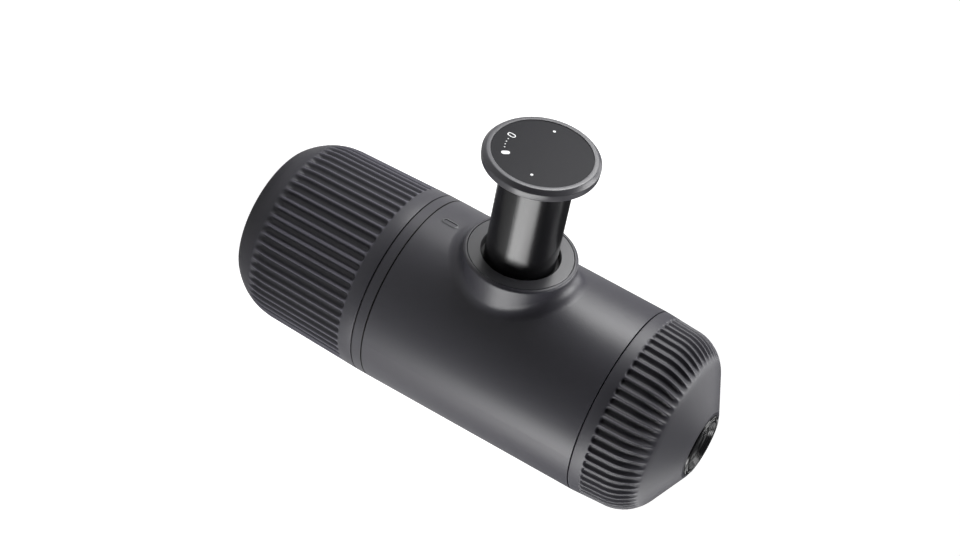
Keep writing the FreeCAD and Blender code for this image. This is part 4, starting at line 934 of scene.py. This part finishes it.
spring_steel = steel("spring_steel", SPRING_COLOUR, roughness=0.22, streak=0.00025)
return_spring = wound("coil_return", {
    "Starts": 1, "Steps": RETURN_STEPS, "Turns": RETURN_TURNS, "End Turns": 1.0,
    "Radius": RETURN_RADIUS * MM,
    "Length": (RETURN_SPRING[1] - RETURN_SPRING[0] - 2 * RETURN_WIRE) * MM,
    "Wire": RETURN_WIRE * MM, "Finish": spring_steel},
    Matrix.Translation((0.0, -(RETURN_SPRING[0] + RETURN_WIRE) * MM, PISTON_AXIS * MM))
    @ Matrix.Rotation(math.pi / 2, 4, "X"))
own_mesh(return_spring)
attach(return_spring, "main_body")
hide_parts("return_spring")

valve_spring = wound("coil_valve", {
    "Starts": 1, "Steps": VALVE_SPRING_STEPS, "Turns": VALVE_SPRING_TURNS, "End Turns": 0.8,
    "Radius": VALVE_SPRING_RADIUS * MM, "Length": VALVE_SPRING_LENGTH * MM,
    "Wire": VALVE_SPRING_WIRE * MM, "Finish": spring_steel},
    Matrix.Translation((0.0, 0.0, VALVE_SPRING_FOOT * MM)))
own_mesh(valve_spring)
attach(valve_spring, "outlet")
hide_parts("valve_spring")


# Frame: the tank's socket, the group head and the sleeve's guide, plain grey mouldings that
# are screwed together inside the housing. They aren't seen, so their skin is left coarser.
FRAME_COLOUR = (0.085, 0.085, 0.090)
dress(["tank_socket", "group_head", "sleeve_guide"],
      moulded("frame_plastic", FRAME_COLOUR, roughness=0.5, grain=0.0005, height=0.00002))


# Pump: pale acetal cylinder, manifold, plunger head, lock ring and valve disc, which slide
# well against seals and need no grease.
PUMP_COLOUR = (0.70, 0.70, 0.67)
dress(["pressure_valve", "plunger_head", "pump_cylinder", "pump_front_cap", "pump_manifold",
       "lock_ring"],
      moulded("pump_plastic", PUMP_COLOUR, roughness=0.40, grain=0.0006, height=0.00001,
              unevenness=0.05))


# Seals and valves: soft red silicone where they meet hot water, and black rubber on the
# piston, where they wipe the sleeve and the pump's bore.
SILICONE_COLOUR = (0.50, 0.10, 0.065)
RUBBER_COLOUR = (0.025, 0.025, 0.026)
dress(["tank_gasket", "inlet_valve", "outlet_valve", "vent_valve", "group_gasket"],
      moulded("silicone", SILICONE_COLOUR, roughness=0.5, grain=0.0007, height=0.00002,
              unevenness=0.15))
dress(["wiper_ring", "plunger_seal"],
      moulded("black_rubber", RUBBER_COLOUR, roughness=0.6, height=0.00003))


# Steel parts: basket, screens and screws turned or drawn about the main axis, and the
# plunger's rod and the cap's screw about the piston's axis.
STEEL_COLOUR = (0.60, 0.60, 0.61)
STREAK = 0.0003
ALONG_PISTON = (math.radians(90.0), 0.0, 0.0)
dress(["frame_screws", "inlet_filter", "dispersion_screen", "screen_screw", "filter_basket"],
      steel("stainless", STEEL_COLOUR, roughness=0.28, streak=STREAK))
dress(["cap_screw", "plunger_rod"],
      steel("stainless_rod", STEEL_COLOUR, roughness=0.22, streak=STREAK,
            centre=(0.0, 0.0, PISTON_AXIS * MM), turn=ALONG_PISTON))
